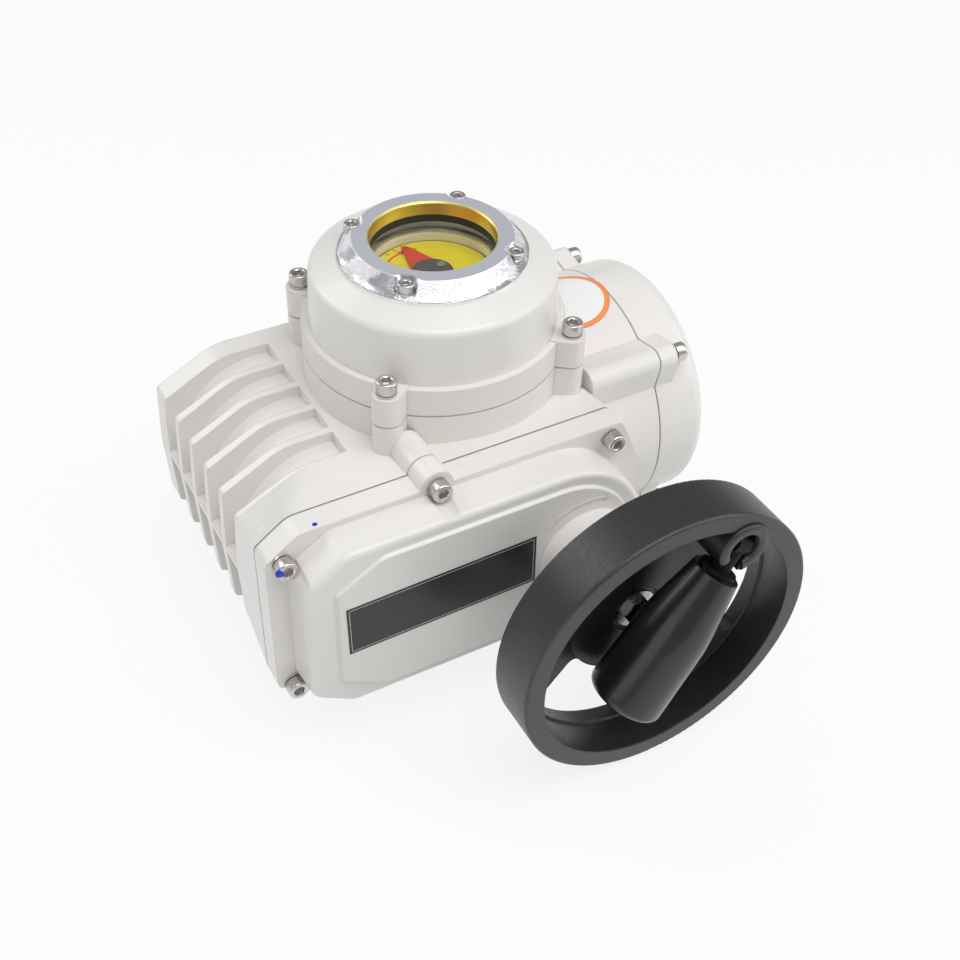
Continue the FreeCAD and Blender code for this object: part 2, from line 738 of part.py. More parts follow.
def hollow_housing(body):
    """Chambers, bores and screw holes of the casting."""
    round_pocket(body, "XY", TURRET_SEAM, CENTRE, "chamber_radius",
                 f"{TURRET_SEAM} - {CHAMBER_FLOOR}", -1)
    round_pocket(body, "XY", CHAMBER_FLOOR, CENTRE, "bearing_plate_radius",
                 "bearing_plate_thickness", -1)
    round_pocket(body, "XY", PLATE_BOTTOM, CENTRE, "wheel_chamber_radius",
                 f"{PLATE_BOTTOM} - axis_height + wheel_chamber_depth", -1)
    round_pocket(body, "XY", "0", CENTRE, "sleeve_radius + bushing_wall",
                 "axis_height - wheel_chamber_depth", 1)
    # Worm bore with the seat of its front bearing, then the motor bore
    round_pocket(body, "XZ", "-seam_depth", [(WORM_X, MID)], "worm_bore", "seam_depth + 44", 1)
    round_pocket(body, "XZ", "-seam_depth", [(WORM_X, MID)], "bearing_radius",
                 "bearing_width + 1", 1)
    round_pocket(body, "XZ", "-seam_depth", [(MOTOR_X, MID)], "motor_radius + side_gap",
                 "motor_length + 1", 1)
    round_pocket(body, "XZ", "-seam_depth", [(IDLER_X, MID)], "stud_radius", "12", 1)
    # Room for the wiring, the passage to the turret and the cable entries
    round_pocket(body, "YZ", "drum_seam", [("0", MID)], "drum_radius - drum_wall",
                 "drum_seam - drum_floor", -1)
    round_pocket(body, "YZ", "drum_floor + 1", [("0", f"{CHAMBER_FLOOR} + 12")], "9",
                 "drum_floor - chamber_radius + 6", -1)
    round_pocket(body, "XZ", "conduit_reach", CONDUITS, "conduit_radius", "20", -1)
    # Screw holes
    round_pocket(body, "XY", TURRET_SEAM, TURRET_SCREWS, "m6_shank + 0.1", "16", -1)
    round_pocket(body, "YZ", "drum_seam", CAP_SCREWS, "m6_shank + 0.1", "14", -1)
    round_pocket(body, "XZ", "-seam_depth", COVER_SCREWS, "m6_shank + 0.1",
                 f"m6_length - cover_flange - {M6_WASHER} + 0.5", 1)
    round_pocket(body, "XZ", "-seam_depth", MOTOR_SCREWS, "m4_shank + 0.1", "9", 1)
    round_pocket(body, "XY", PLATE_BOTTOM, PLATE_SCREWS, "m4_shank + 0.1", "9", -1)
    last = round_pocket(body, "XY", "0", MOUNT_BOLTS, "bolt_radius", "bolt_depth", 1)
    last.Refine = True


def make_turret_cover():
    """Domed cover with its window seat and four lugs."""
    body = new_body("turret_cover")
    turn(body, "XZ", "V_Axis", [
        ("chamber_radius", TURRET_BOTTOM),
        ("turret_radius", TURRET_BOTTOM),
        ("turret_radius", FLANGE_TOP),
        ("turret_foot_radius", FLANGE_TOP),
        ("dome_radius", f"{DOME_TOP} - dome_drop", "dome_round"),
        ("bezel_radius + 1", DOME_TOP),
        ("glass_radius + glass_clearance", DOME_TOP),
        ("glass_radius + glass_clearance", GLASS_LEDGE),
        ("window_radius", GLASS_LEDGE),
        ("window_radius", f"{DOME_TOP} - window_boss_height"),
        ("window_boss_radius", f"{DOME_TOP} - window_boss_height"),
        ("window_boss_radius", f"{DOME_TOP} - roof_thickness"),
        ("chamber_radius - 1.5", f"{DOME_TOP} - roof_thickness")])
    turret_ears(body, TURRET_BOTTOM, "turret_flange + 0.5", 1)
    round_pocket(body, "XY", f"{FLANGE_TOP} + 1", TURRET_SCREWS, "m6_shank + hole_clearance",
                 "turret_flange + 2", -1)
    round_pocket(body, "XY", DOME_TOP, BEZEL_SCREWS, "m4_shank + 0.1", "roof_thickness + 5", -1)
    return keep(body, "turret_cover")


def make_turret_gasket():
    ring = tube("TurretGasket", "turret_radius - 0.5", "chamber_radius + 1", "gasket_thickness",
                "0", "0", TURRET_SEAM)
    return keep(ring, "turret_gasket")


def make_bezel():
    """Metal ring over the glass, with a notch for each screw."""
    body = new_body("bezel_ring")
    seat = f"{DOME_TOP} + glass_gasket_height + glass_thickness + glass_seal_height - glass_recess"
    turn(body, "XZ", "V_Axis", [
        ("window_radius", seat),
        ("window_radius", f"{BEZEL_TOP} - 0.8"),
        ("window_radius + 0.8", BEZEL_TOP),
        ("bezel_flat_radius", BEZEL_TOP),
        ("bezel_cone_radius", f"{DOME_TOP} + bezel_rim"),
        ("bezel_radius", f"{DOME_TOP} + bezel_rim"),
        ("bezel_radius", DOME_TOP),
        ("glass_radius + glass_clearance", DOME_TOP),
        ("glass_radius + glass_clearance", seat)])
    sketch = sketch_on(body, "XY", BEZEL_TOP)
    half = "bezel_notch / 2"
    ends = [("bezel_screw_radius - bezel_notch / 2", f"-{half}", f"{half} - 0.1"),
            ("bezel_radius + 3", f"-{half}", "0"), ("bezel_radius + 3", half, "0"),
            ("bezel_screw_radius - bezel_notch / 2", half, f"{half} - 0.1")]
    outline(sketch, [(f"({along} - ({side})) * {DIAGONAL}", f"({along} + ({side})) * {DIAGONAL}",
                      radius) for along, side, radius in ends])
    notch = pocket(body, sketch, "bezel_height - bezel_seat", -1)
    repeat_round(body, [notch], 4)
    round_pocket(body, "XY", BEZEL_TOP, BEZEL_SCREWS, "m4_shank + hole_clearance",
                 "bezel_height + 1", -1)
    return keep(body, "bezel_ring")


def make_window():
    """Glass, its seal and gasket, and the fixed dial on its pillars."""
    bottom = f"{GLASS_LEDGE}"
    seal = tube("SealRing", "glass_radius", "window_radius + 0.4", "glass_seal_height",
                "0", "0", bottom)
    keep(seal, "window_seal")
    glass = rod("Glass", "glass_radius", "glass_thickness", "0", "0",
                f"{bottom} + glass_seal_height")
    keep(glass, "sight_glass")
    gasket = tube("GasketRing", "glass_radius", "window_radius", "glass_gasket_height", "0", "0",
                  f"{bottom} + glass_seal_height + glass_thickness")
    keep(gasket, "window_gasket")
    dial = tube("Dial", "dial_radius", "spindle_radius + 1", "dial_thickness", "0", "0",
                f"{DIAL_TOP} - dial_thickness")
    keep(dial, "dial_plate")
    pillar = rod("PillarRod", "pillar_radius", f"{DIAL_TOP} - dial_thickness - {CHAMBER_FLOOR}",
                 "0", "0", "0")
    copies("dial_pillars", pillar,
           [(f"pillar_circle * cos({a} * 1 deg)", f"pillar_circle * sin({a} * 1 deg)",
             CHAMBER_FLOOR) for a in (90, 210, 330)])


def make_front_cover():
    """Gear cover: flange, drafted box, raised panel and the boss round the handwheel shaft."""
    body = new_body("front_cover")
    sketch = sketch_on(body, "XZ", COVER_BACK)
    outline(sketch, FLANGE_OUTLINE)
    pad(body, sketch, "cover_flange", -1)
    round_pad(body, "XZ", COVER_BACK, SEAM_RIDGES, "lug_bump_radius", "cover_flange", -1)
    sketch = sketch_on(body, "XZ", FLANGE_FRONT)
    outline(sketch, mirrored([
        ("-cover_left", f"{DECK} - 14", "10"),
        ("-cover_left + 21.5", "axis_height + cover_half_height", "12"),
        ("cover_arc_centre + cover_half_height", "axis_height + cover_half_height",
         "cover_half_height - 1")]))
    pad(body, sketch, "cover_box", -1, "-cover_draft")
    fillet(body, flat_face(body, "y", BOX_FRONT), "3")
    sketch = sketch_on(body, "XZ", BOX_FRONT)
    outline(sketch, mirrored([
        ("-panel_left", "axis_height + panel_half_height - 14", "3"),
        ("-panel_left + 24", "axis_height + panel_half_height", "12"),
        ("11 + panel_half_height", "axis_height + panel_half_height", "panel_half_height - 1")]))
    pad(body, sketch, "cover_panel", -1, "-25")
    round_pad(body, "XZ", BOX_FRONT, [(WORM_X, MID)], "shaft_boss_radius",
              "cover_panel + shaft_boss", -1)
    # Gear room, shaft hole and seal seat
    sketch = sketch_on(body, "XZ", COVER_BACK)
    outline(sketch, INNER_OUTLINE)
    pocket(body, sketch, "cover_flange + cover_box - cover_wall", -1)
    round_pocket(body, "XZ", BOSS_FRONT, [(WORM_X, MID)], "shaft_radius + side_gap", "20", 1)
    round_pocket(body, "XZ", BOSS_FRONT, [(WORM_X, MID)], "shaft_radius + 5", "6", 1)
    # Screw holes, with room for each head in the side of the box
    round_pocket(body, "XZ", COVER_BACK, COVER_SCREWS, "m6_shank + hole_clearance",
                 "cover_flange + 1", -1)
    round_pocket(body, "XZ", BOX_FRONT, COVER_SCREWS, "m6_head + 1.6", "cover_box", 1)
    return keep(body, "front_cover")


def make_cover_gasket():
    body = new_body("CoverGasket")
    sketch = sketch_on(body, "XZ", "-seam_depth")
    outline(sketch, FLANGE_OUTLINE)
    pad(body, sketch, "gasket_thickness", -1)
    sketch = sketch_on(body, "XZ", "-seam_depth")
    outline(sketch, INNER_OUTLINE)
    pocket(body, sketch, "gasket_thickness", -1)
    round_pocket(body, "XZ", "-seam_depth", COVER_SCREWS, "m6_shank + hole_clearance",
                 "gasket_thickness", -1)
    return keep(body, "front_cover_gasket")


def make_end_cap():
    """Round cap of the wiring housing, with four lugs and a scallop for each screw."""
    body = new_body("end_cap")
    inner = "drum_radius - drum_wall"
    turn(body, "XY", "H_Axis", [
        (CAP_BACK, inner), (CAP_BACK, "drum_radius"), (CAP_END, "drum_radius", "cap_round"),
        (CAP_END, "0"), (f"{CAP_END} - cap_wall", "0"), (f"{CAP_END} - cap_wall", inner)])
    tie(body, z="axis_height")
    places = [(y, f"{z} - axis_height") for y, z in CAP_SCREWS]
    drum_ears(body, CAP_BACK, "cap_lug_length", "0")
    round_pocket(body, "YZ", CAP_LUG_END, places, "m6_head + 1.4", "cap_length", 1)
    round_pocket(body, "YZ", CAP_BACK, places, "m6_shank + hole_clearance",
                 "cap_lug_length + 1", 1)
    return keep(body, "end_cap")


def make_cap_gasket():
    ring = tube("CapGasket", "drum_radius - 0.4", "drum_radius - drum_wall + 0.5",
                "gasket_thickness", "drum_seam", "0", MID, "+X")
    return keep(ring, "end_cap_gasket")


def make_fasteners():
    """The screws and their spring washers; equal ones inside the actuator share a node."""
    m6_screw = socket_screw("M6Screw", "m6_head", M6_HEIGHT, "m6_shank", "m6_length", "5")
    m4_screw = socket_screw("M4Screw", "m4_head", M4_HEIGHT, "m4_shank", "m4_length", "3")
    m6_washer = tube("M6Washer", "m6_head", "m6_shank + 0.1", M6_WASHER, "0", "0", "0")
    m4_washer = tube("M4Washer", "m4_head", "m4_shank + 0.1", M4_WASHER, "0", "0", "0")
    lug_top = f"({FLANGE_TOP} + 0.5)"
    copies("turret_screws", m6_screw,
           [(x, y, f"{lug_top} + {M6_WASHER}") for x, y in TURRET_SCREWS])
    copies("front_cover_screws", m6_screw,
           [(x, f"{FLANGE_FRONT} - {M6_WASHER}", z) for x, z in COVER_SCREWS], "-Y")
    copies("end_cap_screws", m6_screw,
           [(f"{CAP_LUG_END} + {M6_WASHER}", y, z) for y, z in CAP_SCREWS], "+X")
    copies("spring_washers", m6_washer, [(x, y, lug_top) for x, y in TURRET_SCREWS]
           + [(x, FLANGE_FRONT, z, "-Y") for x, z in COVER_SCREWS]
           + [(CAP_LUG_END, y, z, "+X") for y, z in CAP_SCREWS])
    seat = f"({DOME_TOP} + bezel_seat)"
    copies("bezel_washers", m4_washer, [(x, y, seat) for x, y in BEZEL_SCREWS])
    copies("bezel_screws", m4_screw, [(x, y, f"{seat} + {M4_WASHER}") for x, y in BEZEL_SCREWS])
    copies("inner_screws", m4_screw,
           [(x, "-seam_depth - motor_flange", z, "-Y") for x, z in MOTOR_SCREWS]
           + [(x, y, CHAMBER_FLOOR) for x, y in PLATE_SCREWS])


# Gears

def tooth_half_angle(radius, pitch_radius, teeth, backlash):
    """Half the angle that an involute tooth of 20 degrees covers at a radius."""
    base = pitch_radius * math.cos(math.radians(20))
    lean = math.acos(min(1, base / radius))
    involute = math.tan(lean) - lean
    start = math.tan(math.radians(20)) - math.radians(20)
    return math.pi / (2 * teeth) - backlash / (2 * pitch_radius) + start - involute


def gear_face(module, teeth, backlash, turned=0):
    """A flat toothed wheel about the origin, with its first tooth turned by an angle."""
    pitch_radius = module * teeth / 2
    root = pitch_radius - 1.25 * module
    tip = pitch_radius + module
    points = []
    for tooth in range(teeth):
        middle = math.radians(turned) + 2 * math.pi * tooth / teeth
        for radius, side in ((root, -1), (pitch_radius, -1), (tip, -1),
                             (tip, 1), (pitch_radius, 1), (root, 1)):
            half = tooth_half_angle(max(radius, root), pitch_radius, teeth, backlash)
            angle = middle + side * half
            points.append(V(radius * math.cos(angle), radius * math.sin(angle), 0))
    return Part.Face(Part.makePolygon(points + points[:1]))


def spur_gear(name, module, teeth, backlash, width, turned=0):
    """A spur gear along +Z from the origin."""
    face = gear_face(number(module), int(number(teeth)), number(backlash), number(turned))
    item = doc.addObject("Part::Feature", name)
    item.Shape = face.extrude(V(0, 0, number(width)))
    return item


def make_gear_train():
    """Motor pinion, idler and worm gear in the front cover."""
    pinion = spur_gear("PinionTeeth", "gear_module", "pinion_teeth", "gear_backlash", "gear_width")
    idler = spur_gear("IdlerTeeth", "gear_module", "idler_teeth", "gear_backlash", "gear_width",
                      "180 + 180 / idler_teeth")
    driven = spur_gear("DrivenTeeth", "gear_module", "pinion_teeth", "gear_backlash",
                       "gear_width", "180")
    # The gears' +Z end faces the front
    for item, x in ((pinion, MOTOR_X), (idler, IDLER_X), (driven, WORM_X)):
        item.Placement = FreeCAD.Placement(V(), AXES["-Y"])
        tie(item, x=x, y="gear_width - gear_front", z=MID)
    shaft = rod("MotorShaftRod", "motor_shaft_radius",
                "gear_front - seam_depth - motor_flange - 6.5", MOTOR_X,
                "-gear_front", MID, "+Y")
    keep(fuse("MotorPinion", [pinion, shaft]), "motor_pinion")
    bore = rod("IdlerBore", "stud_radius + running_fit", "gear_width + 2", IDLER_X,
               "-gear_front - 1", MID, "+Y")
    openings = []
    for angle in range(0, 360, 60):
        openings.append(rod("IdlerHole", "5.5", "gear_width + 2",
                            f"{IDLER_X} + 20 * cos({angle} * 1 deg)", "-gear_front - 1",
                            f"axis_height + 20 * sin({angle} * 1 deg)", "+Y"))
    keep(cut("Idler", idler, fuse("IdlerHoles", [bore] + openings)), "idler_gear")
    bore = rod("DrivenBore", "shaft_radius", "gear_width + 2", WORM_X, "-gear_front - 1", MID, "+Y")
    keep(cut("Driven", driven, bore), "worm_gear")
    # Idler stud: pressed into the casting, with a shoulder behind the gear and a clip in front
    shoulder = rod("StudShoulder", "stud_shoulder",
                   "gear_front - gear_width - seam_depth - side_gap",
                   IDLER_X, "-seam_depth", MID, "-Y")
    pin = rod("StudPin", "stud_radius", "gear_front - seam_depth + 12 + side_gap + 2.4",
              IDLER_X, "12 - seam_depth", MID, "-Y")
    keep(fuse("Stud", [shoulder, pin]), "idler_stud")
    clip = tube("Clip", "stud_radius + 3", "stud_radius", "1.2", IDLER_X,
                "-gear_front - side_gap", MID, "-Y")
    keep(clip, "idler_clip")


def worm_thread():
    """A one-start thread of trapezoidal section about +Z, centred on the origin."""
    module = number("worm_module")
    pitch = math.pi * module
    turns = number("worm_turns")
    pitch_radius = number("worm_pitch_radius")
    root = pitch_radius - 1.25 * module
    tip = pitch_radius + module
    lean = math.tan(math.radians(20))
    half = (pitch * 0.5 - number("worm_backlash")) / 2
    inside = root - 0.4
    section = [V(inside, 0, -half - (pitch_radius - inside) * lean), V(tip, 0, -half + module * lean),
               V(tip, 0, half - module * lean), V(inside, 0, half + (pitch_radius - inside) * lean)]
    helix = Part.makeHelix(pitch, pitch * turns, root)
    profile = Part.makePolygon(section + section[:1])
    thread = Part.Wire(helix.Edges).makePipeShell([profile], True, True)
    thread.translate(V(0, 0, -pitch * turns / 2))
    # The thread's middle faces +X, so that a gap of it faces a tooth of the wheel at rest
    thread.rotate(V(), V(0, 0, 1), -180 * turns)
    core = Part.makeCylinder(root, pitch * (turns + 1.6), V(0, 0, -pitch * (turns + 1.6) / 2))
    return core.fuse(thread)


def make_worm_shaft():
    """Handwheel shaft with the worm on it, along Y."""
    item = doc.addObject("Part::Feature", "WormThread")
    item.Shape = worm_thread()
    item.Placement = FreeCAD.Placement(V(), AXES["+Y"])
    tie(item, x=WORM_X, z=MID)
    front = rod("ShaftFront", "shaft_radius", f"-({HUB_FRONT}) - 2 - seam_depth + bearing_width + 8",
                WORM_X, f"{HUB_FRONT} + 2", MID, "+Y")
    waist = rod("ShaftWaist", "worm_pitch_radius - 1.25 * worm_module - 0.6",
                "seam_depth + bushing_start - 1", WORM_X, "-seam_depth", MID, "+Y")
    journal = rod("ShaftJournal", "journal_radius", "18", WORM_X, "bushing_start - 3", MID, "+Y")
    solid = fuse("WormShaft", [front, waist, item, journal])
    thread = rod("ShaftThread", "m6_shank + 0.1", "16", WORM_X, f"{HUB_FRONT} + 1", MID, "+Y")
    keep(cut("DrilledShaft", solid, thread), "worm_shaft")


def make_worm_wheel():
    """Toothed wheel on the output shaft; its teeth lean by the worm's lead angle."""
    module = number("worm_module")
    teeth = int(number("wheel_teeth"))
    width = number("worm_wheel_width")
    pitch_radius = module * teeth / 2
    lead = module / (2 * number("worm_pitch_radius"))
    twist = math.degrees(lead * width / pitch_radius)
    face = gear_face(module, teeth, number("worm_backlash"))
    layers = 4
    wires = []
    for layer in range(layers + 1):
        wire = face.OuterWire.copy()
        wire.rotate(V(), V(0, 0, 1), twist * (layer / layers - 0.5))
        wire.translate(V(0, 0, width * (layer / layers - 0.5)))
        wires.append(wire)
    item = doc.addObject("Part::Feature", "WheelTeeth")
    item.Shape = Part.makeLoft(wires, True, True)
    tie(item, z=MID)
    hub = rod("WheelHub", "wheel_hub_radius",
              f"{PLATE_BOTTOM} - axis_height + wheel_chamber_depth - 2 - side_gap", "0", "0",
              "axis_height - wheel_chamber_depth + 2")
    bore = rod("WheelBore", "wheel_seat_radius", f"{PLATE_BOTTOM}", "0", "0", "10")
    keep(cut("WormWheel", fuse("WheelBlank", [item, hub]), bore), "worm_wheel")


# Output shaft and what turns with it

def make_output_shaft():
    """Drive sleeve with a square socket, stepping down to the pointer spindle."""
    body = new_body("output_shaft")
    top = f"({DIAL_TOP} + 0.6)"
    turn(body, "XZ", "V_Axis", [
        ("0", "0.5"), ("sleeve_radius", "0.5"),
        ("sleeve_radius", "axis_height - wheel_chamber_depth + 2"),
        ("wheel_seat_radius", "axis_height - wheel_chamber_depth + 2"),
        ("wheel_seat_radius", f"{PLATE_BOTTOM} - side_gap"),
        ("neck_radius", f"{PLATE_BOTTOM} - side_gap"),
        ("neck_radius", f"{CHAMBER_FLOOR} + 4 * cam_pitch"),
        ("spindle_radius", f"{CHAMBER_FLOOR} + 4 * cam_pitch"),
        ("spindle_radius", top), ("0", top)])
    sketch = sketch_on(body, "XY", "0.5")
    half = "drive_square / 2"
    outline(sketch, [(f"-{half}", f"-{half}", "1"), (half, f"-{half}", "1"),
                     (half, half, "1"), (f"-{half}", half, "1")])
    pocket(body, sketch, "drive_depth - 0.5", 1)
    return keep(body, "output_shaft")


def make_output_bearings():
    """Bushings, shaft seal and the plate over the worm wheel."""
    bushing = tube("LowerBushing", "sleeve_radius + bushing_wall", "sleeve_radius + running_fit",
                   "axis_height - wheel_chamber_depth - 8", "0", "0", "8")
    keep(bushing, "output_bushing")
    seal = tube("ShaftSeal", "sleeve_radius + bushing_wall", "sleeve_radius + running_fit",
                "6.5", "0", "0", "1")
    keep(seal, "output_seal")
    plate = tube("BearingPlate", "bearing_plate_radius - 0.05", "neck_radius + running_fit",
                 "bearing_plate_thickness", "0", "0", PLATE_BOTTOM)
    screw_holes = [rod("PlateHole", "m4_shank + 0.1", "20", x, y, f"{PLATE_BOTTOM} - 5")
                   for x, y in PLATE_SCREWS]
    keep(cut("PlateCut", plate, fuse("PlateHoles", screw_holes)), "bearing_plate")


def make_cam(label, level, middle):
    """A switch cam: a disc with one lobe, clamped on the neck of the output shaft."""
    body = new_body(label)
    at = f"{CHAMBER_FLOOR} + {level} * cam_pitch - cam_width / 2"
    round_pad(body, "XY", at, CENTRE, "cam_radius", "cam_width", 1)
    sketch = sketch_on(body, "XY", at)
    sector(sketch, "neck_radius + 3", "cam_lobe_radius", middle, "14", "1.5")
    pad(body, sketch, "cam_width", 1)
    round_pocket(body, "XY", at, CENTRE, "neck_radius", "cam_width", 1)
    return keep(body, label)


def make_feedback():
    """Toothed wheel on the output shaft that turns the position sensor."""
    level = f"({CHAMBER_FLOOR} + 3 * cam_pitch)"
    wheel = spur_gear("FeedbackTeeth", "feedback_module", "feedback_teeth", "0.2",
                      "feedback_width")
    tie(wheel, z=level)
    bore = rod("FeedbackBore", "neck_radius", "feedback_width + 2", "0", "0", f"{level} - 1")
    keep(cut("FeedbackWheel", wheel, bore), "feedback_gear")
    small = spur_gear("SensorTeeth", "feedback_module", "sensor_teeth", "0.2", "feedback_width",
                      "180 + 180 / sensor_teeth")
    tie(small, x=SENSOR_DISTANCE, z=level)
    spindle = rod("SensorSpindle", "2.5", f"{level} - {CHAMBER_FLOOR} - 10 + feedback_width",
                  SENSOR_DISTANCE, "0", f"{CHAMBER_FLOOR} + 10")
    keep(fuse("SensorPinion", [small, spindle]), "sensor_pinion")
    case = rod("SensorCase", "sensor_radius", "22", SENSOR_DISTANCE, "0", CHAMBER_FLOOR)
    hollow = rod("SensorHollow", "2.5 + running_fit", "14", SENSOR_DISTANCE, "0",
                 f"{CHAMBER_FLOOR} + 9.6")
    keep(cut("Sensor", case, hollow), "position_sensor")


def make_pointer():
    """Wedge pointer under the glass, held by a hub with two screws."""
    body = new_body("pointer")
    base = f"({DIAL_TOP} + 0.6)"
    sketch = sketch_on(body, "XY", base)
    direction = ("cos(95 * 1 deg)", "sin(95 * 1 deg)")
    ends = [("4", "-8.5"), ("pointer_length", "-1.2"), ("pointer_length", "1.2"), ("4", "8.5")]
    outline(sketch, [(f"({along}) * {direction[0]} - ({side}) * {direction[1]}",
                      f"({along}) * {direction[1]} + ({side}) * {direction[0]}")
                     for along, side in ends])
    pad(body, sketch, "0.8", 1)
    keep(body, "pointer")
    hub = rod("HubDisc", "10", "1", "0", "0", f"{base} + 0.8")
    keep(hub, "pointer_hub")
    head = rod("HubScrewHead", "2.2", "0.8", "0", "0", "0")
    copies("pointer_screws", head, [(f"{a} * 6 * cos(20 * 1 deg)", f"{a} * 6 * sin(20 * 1 deg)",
                                     f"{base} + 1.8") for a in (1, -1)])


def make_switches():
    """Two snap switches, one for each cam, and the roller levers that press them."""
    roller_y = "(-cam_lobe_radius - roller_radius - side_gap)"
    cases = []
    for label, level in (("open_switch_lever", 1), ("close_switch_lever", 2)):
        middle = f"({CHAMBER_FLOOR} + {level} * cam_pitch)"
        cases.append(block("SwitchCase", "22", "11", "cam_width + 0.6", "0", f"{roller_y} - 16.5",
                           f"{middle} - cam_width / 2 - 0.3"))
        roller = V(-2, number(roller_y), 0)
        pivot = V(9.5, number(roller_y) - 9.8, 0)
        along = (roller - pivot).normalize()
        side = V(-along.y, along.x, 0) * 0.5
        corners = [pivot + side, pivot - side, roller - side, roller + side, pivot + side]
        arm = doc.addObject("Part::Feature", "LeverArm")
        plate = Part.Face(Part.makePolygon(corners)).extrude(V(0, 0, 4))
        arm.Shape = plate.fuse([Part.makeCylinder(number("roller_radius"), 4, roller),
                                Part.makeCylinder(0.9, 4, pivot)])
        tie(arm, z=f"{middle} - 2")
        keep(arm, label)
    group = doc.addObject("Part::Compound", "LimitSwitches")
    group.Links = cases
    keep(group, "limit_switches")


def make_bracket():
    """Upright plate that carries the switches, on a foot on the chamber floor."""
    body = new_body("switch_bracket")
    back = "(-cam_lobe_radius - roller_radius - side_gap - 22)"
    sketch = sketch_on(body, "YZ", "-14")
    outline(sketch, [(f"{back} - 2", CHAMBER_FLOOR), (back, CHAMBER_FLOOR),
                     (back, f"{CHAMBER_FLOOR} + 2 * cam_pitch + 6"),
                     (f"{back} - 2", f"{CHAMBER_FLOOR} + 2 * cam_pitch + 6")])
    pad(body, sketch, "28", 1)
    return keep(body, "switch_bracket")


# Motor and electrics

def make_motor():
    """Geared motor: a closed can with a front flange."""
    can = rod("MotorCan", "motor_radius", "motor_length - 2", MOTOR_X, "-seam_depth", MID, "+Y")
    flange = rod("MotorFlange", "motor_flange_radius", "motor_flange", MOTOR_X,
                 "-seam_depth", MID, "-Y")
    nose = rod("MotorNose", "12", "motor_flange + 4", MOTOR_X, "-seam_depth", MID, "-Y")
    screw_holes = [rod("MotorHole", "m4_shank + 0.1", "16", x, "-seam_depth - 8", z, "+Y")
                   for x, z in MOTOR_SCREWS]
    bore = rod("MotorBore", "motor_shaft_radius + side_gap", "20", MOTOR_X,
               "-seam_depth - motor_flange - 6", MID, "+Y")
    solid = cut("Motor", fuse("MotorSolid", [can, flange, nose]),
                fuse("MotorHoles", screw_holes + [bore]))
    keep(solid, "gear_motor")


def make_worm_bearings():
    bearing = tube("WormBearing", "bearing_radius", "shaft_radius + running_fit", "bearing_width",
                   WORM_X, "-seam_depth + 0.6", MID, "+Y")
    keep(bearing, "worm_bearing")
    bushing = tube("WormBushing", "worm_bore", "journal_radius + running_fit", "14", WORM_X,
                   "bushing_start", MID, "+Y")
    keep(bushing, "worm_bushing")
    seal = tube("WormSeal", "shaft_radius + 5", "shaft_radius + running_fit", "5", WORM_X,
                f"{BOSS_FRONT} + 1", MID, "+Y")
    keep(seal, "worm_shaft_seal")


def make_electrics():
    """Circuit board on four posts, with its terminal strip, relay and capacitor."""
    at = "(drum_floor + 12)"
    board = block("Board", "1.6", "74", "62", f"{at} + 0.8", "0", "axis_height - 31")
    keep(board, "circuit_board")
    post = rod("Post", "3", "12", "0", "0", "0")
    copies("board_posts", post, [("drum_floor", f"{a} * 31", f"axis_height + {b} * 25")
                                 for a, b in ((1, 1), (-1, 1), (-1, -1), (1, -1))], "+X")
    strip = block("Strip", "12", "60", "13", f"{at} + 7.6", "0", "axis_height - 26")
    slots = [block("StripSlot", "8", "4", "5", f"{at} + 12", f"{i} * 8", "axis_height - 24")
             for i in range(-3, 4)]
    keep(cut("Terminals", strip, fuse("StripSlots", slots)), "terminal_strip")
    relay = block("Relay", "15", "20", "16", f"{at} + 9.1", "16", "axis_height + 6")
    keep(relay, "relay")
    capacitor = rod("Capacitor", "8", "18", f"{at} + 1.6", "-16", "axis_height + 14", "+X")
    keep(capacitor, "capacitor")


def make_conduit_plugs():
    """Hexagon plugs that close the two cable entries at the back."""
    body = new_body("ConduitPlug")
    sketch = sketch_on(body, "XY", "0")
    hexagon(sketch, "conduit_radius * 1.25")
    pad(body, sketch, "5", 1)
    round_pad(body, "XY", "0", CENTRE, "conduit_radius", "9", -1)
    copies("conduit_plugs", body, [(x, "conduit_reach", z) for x, z in CONDUITS], "+Y")


# Handwheel and its folding handle

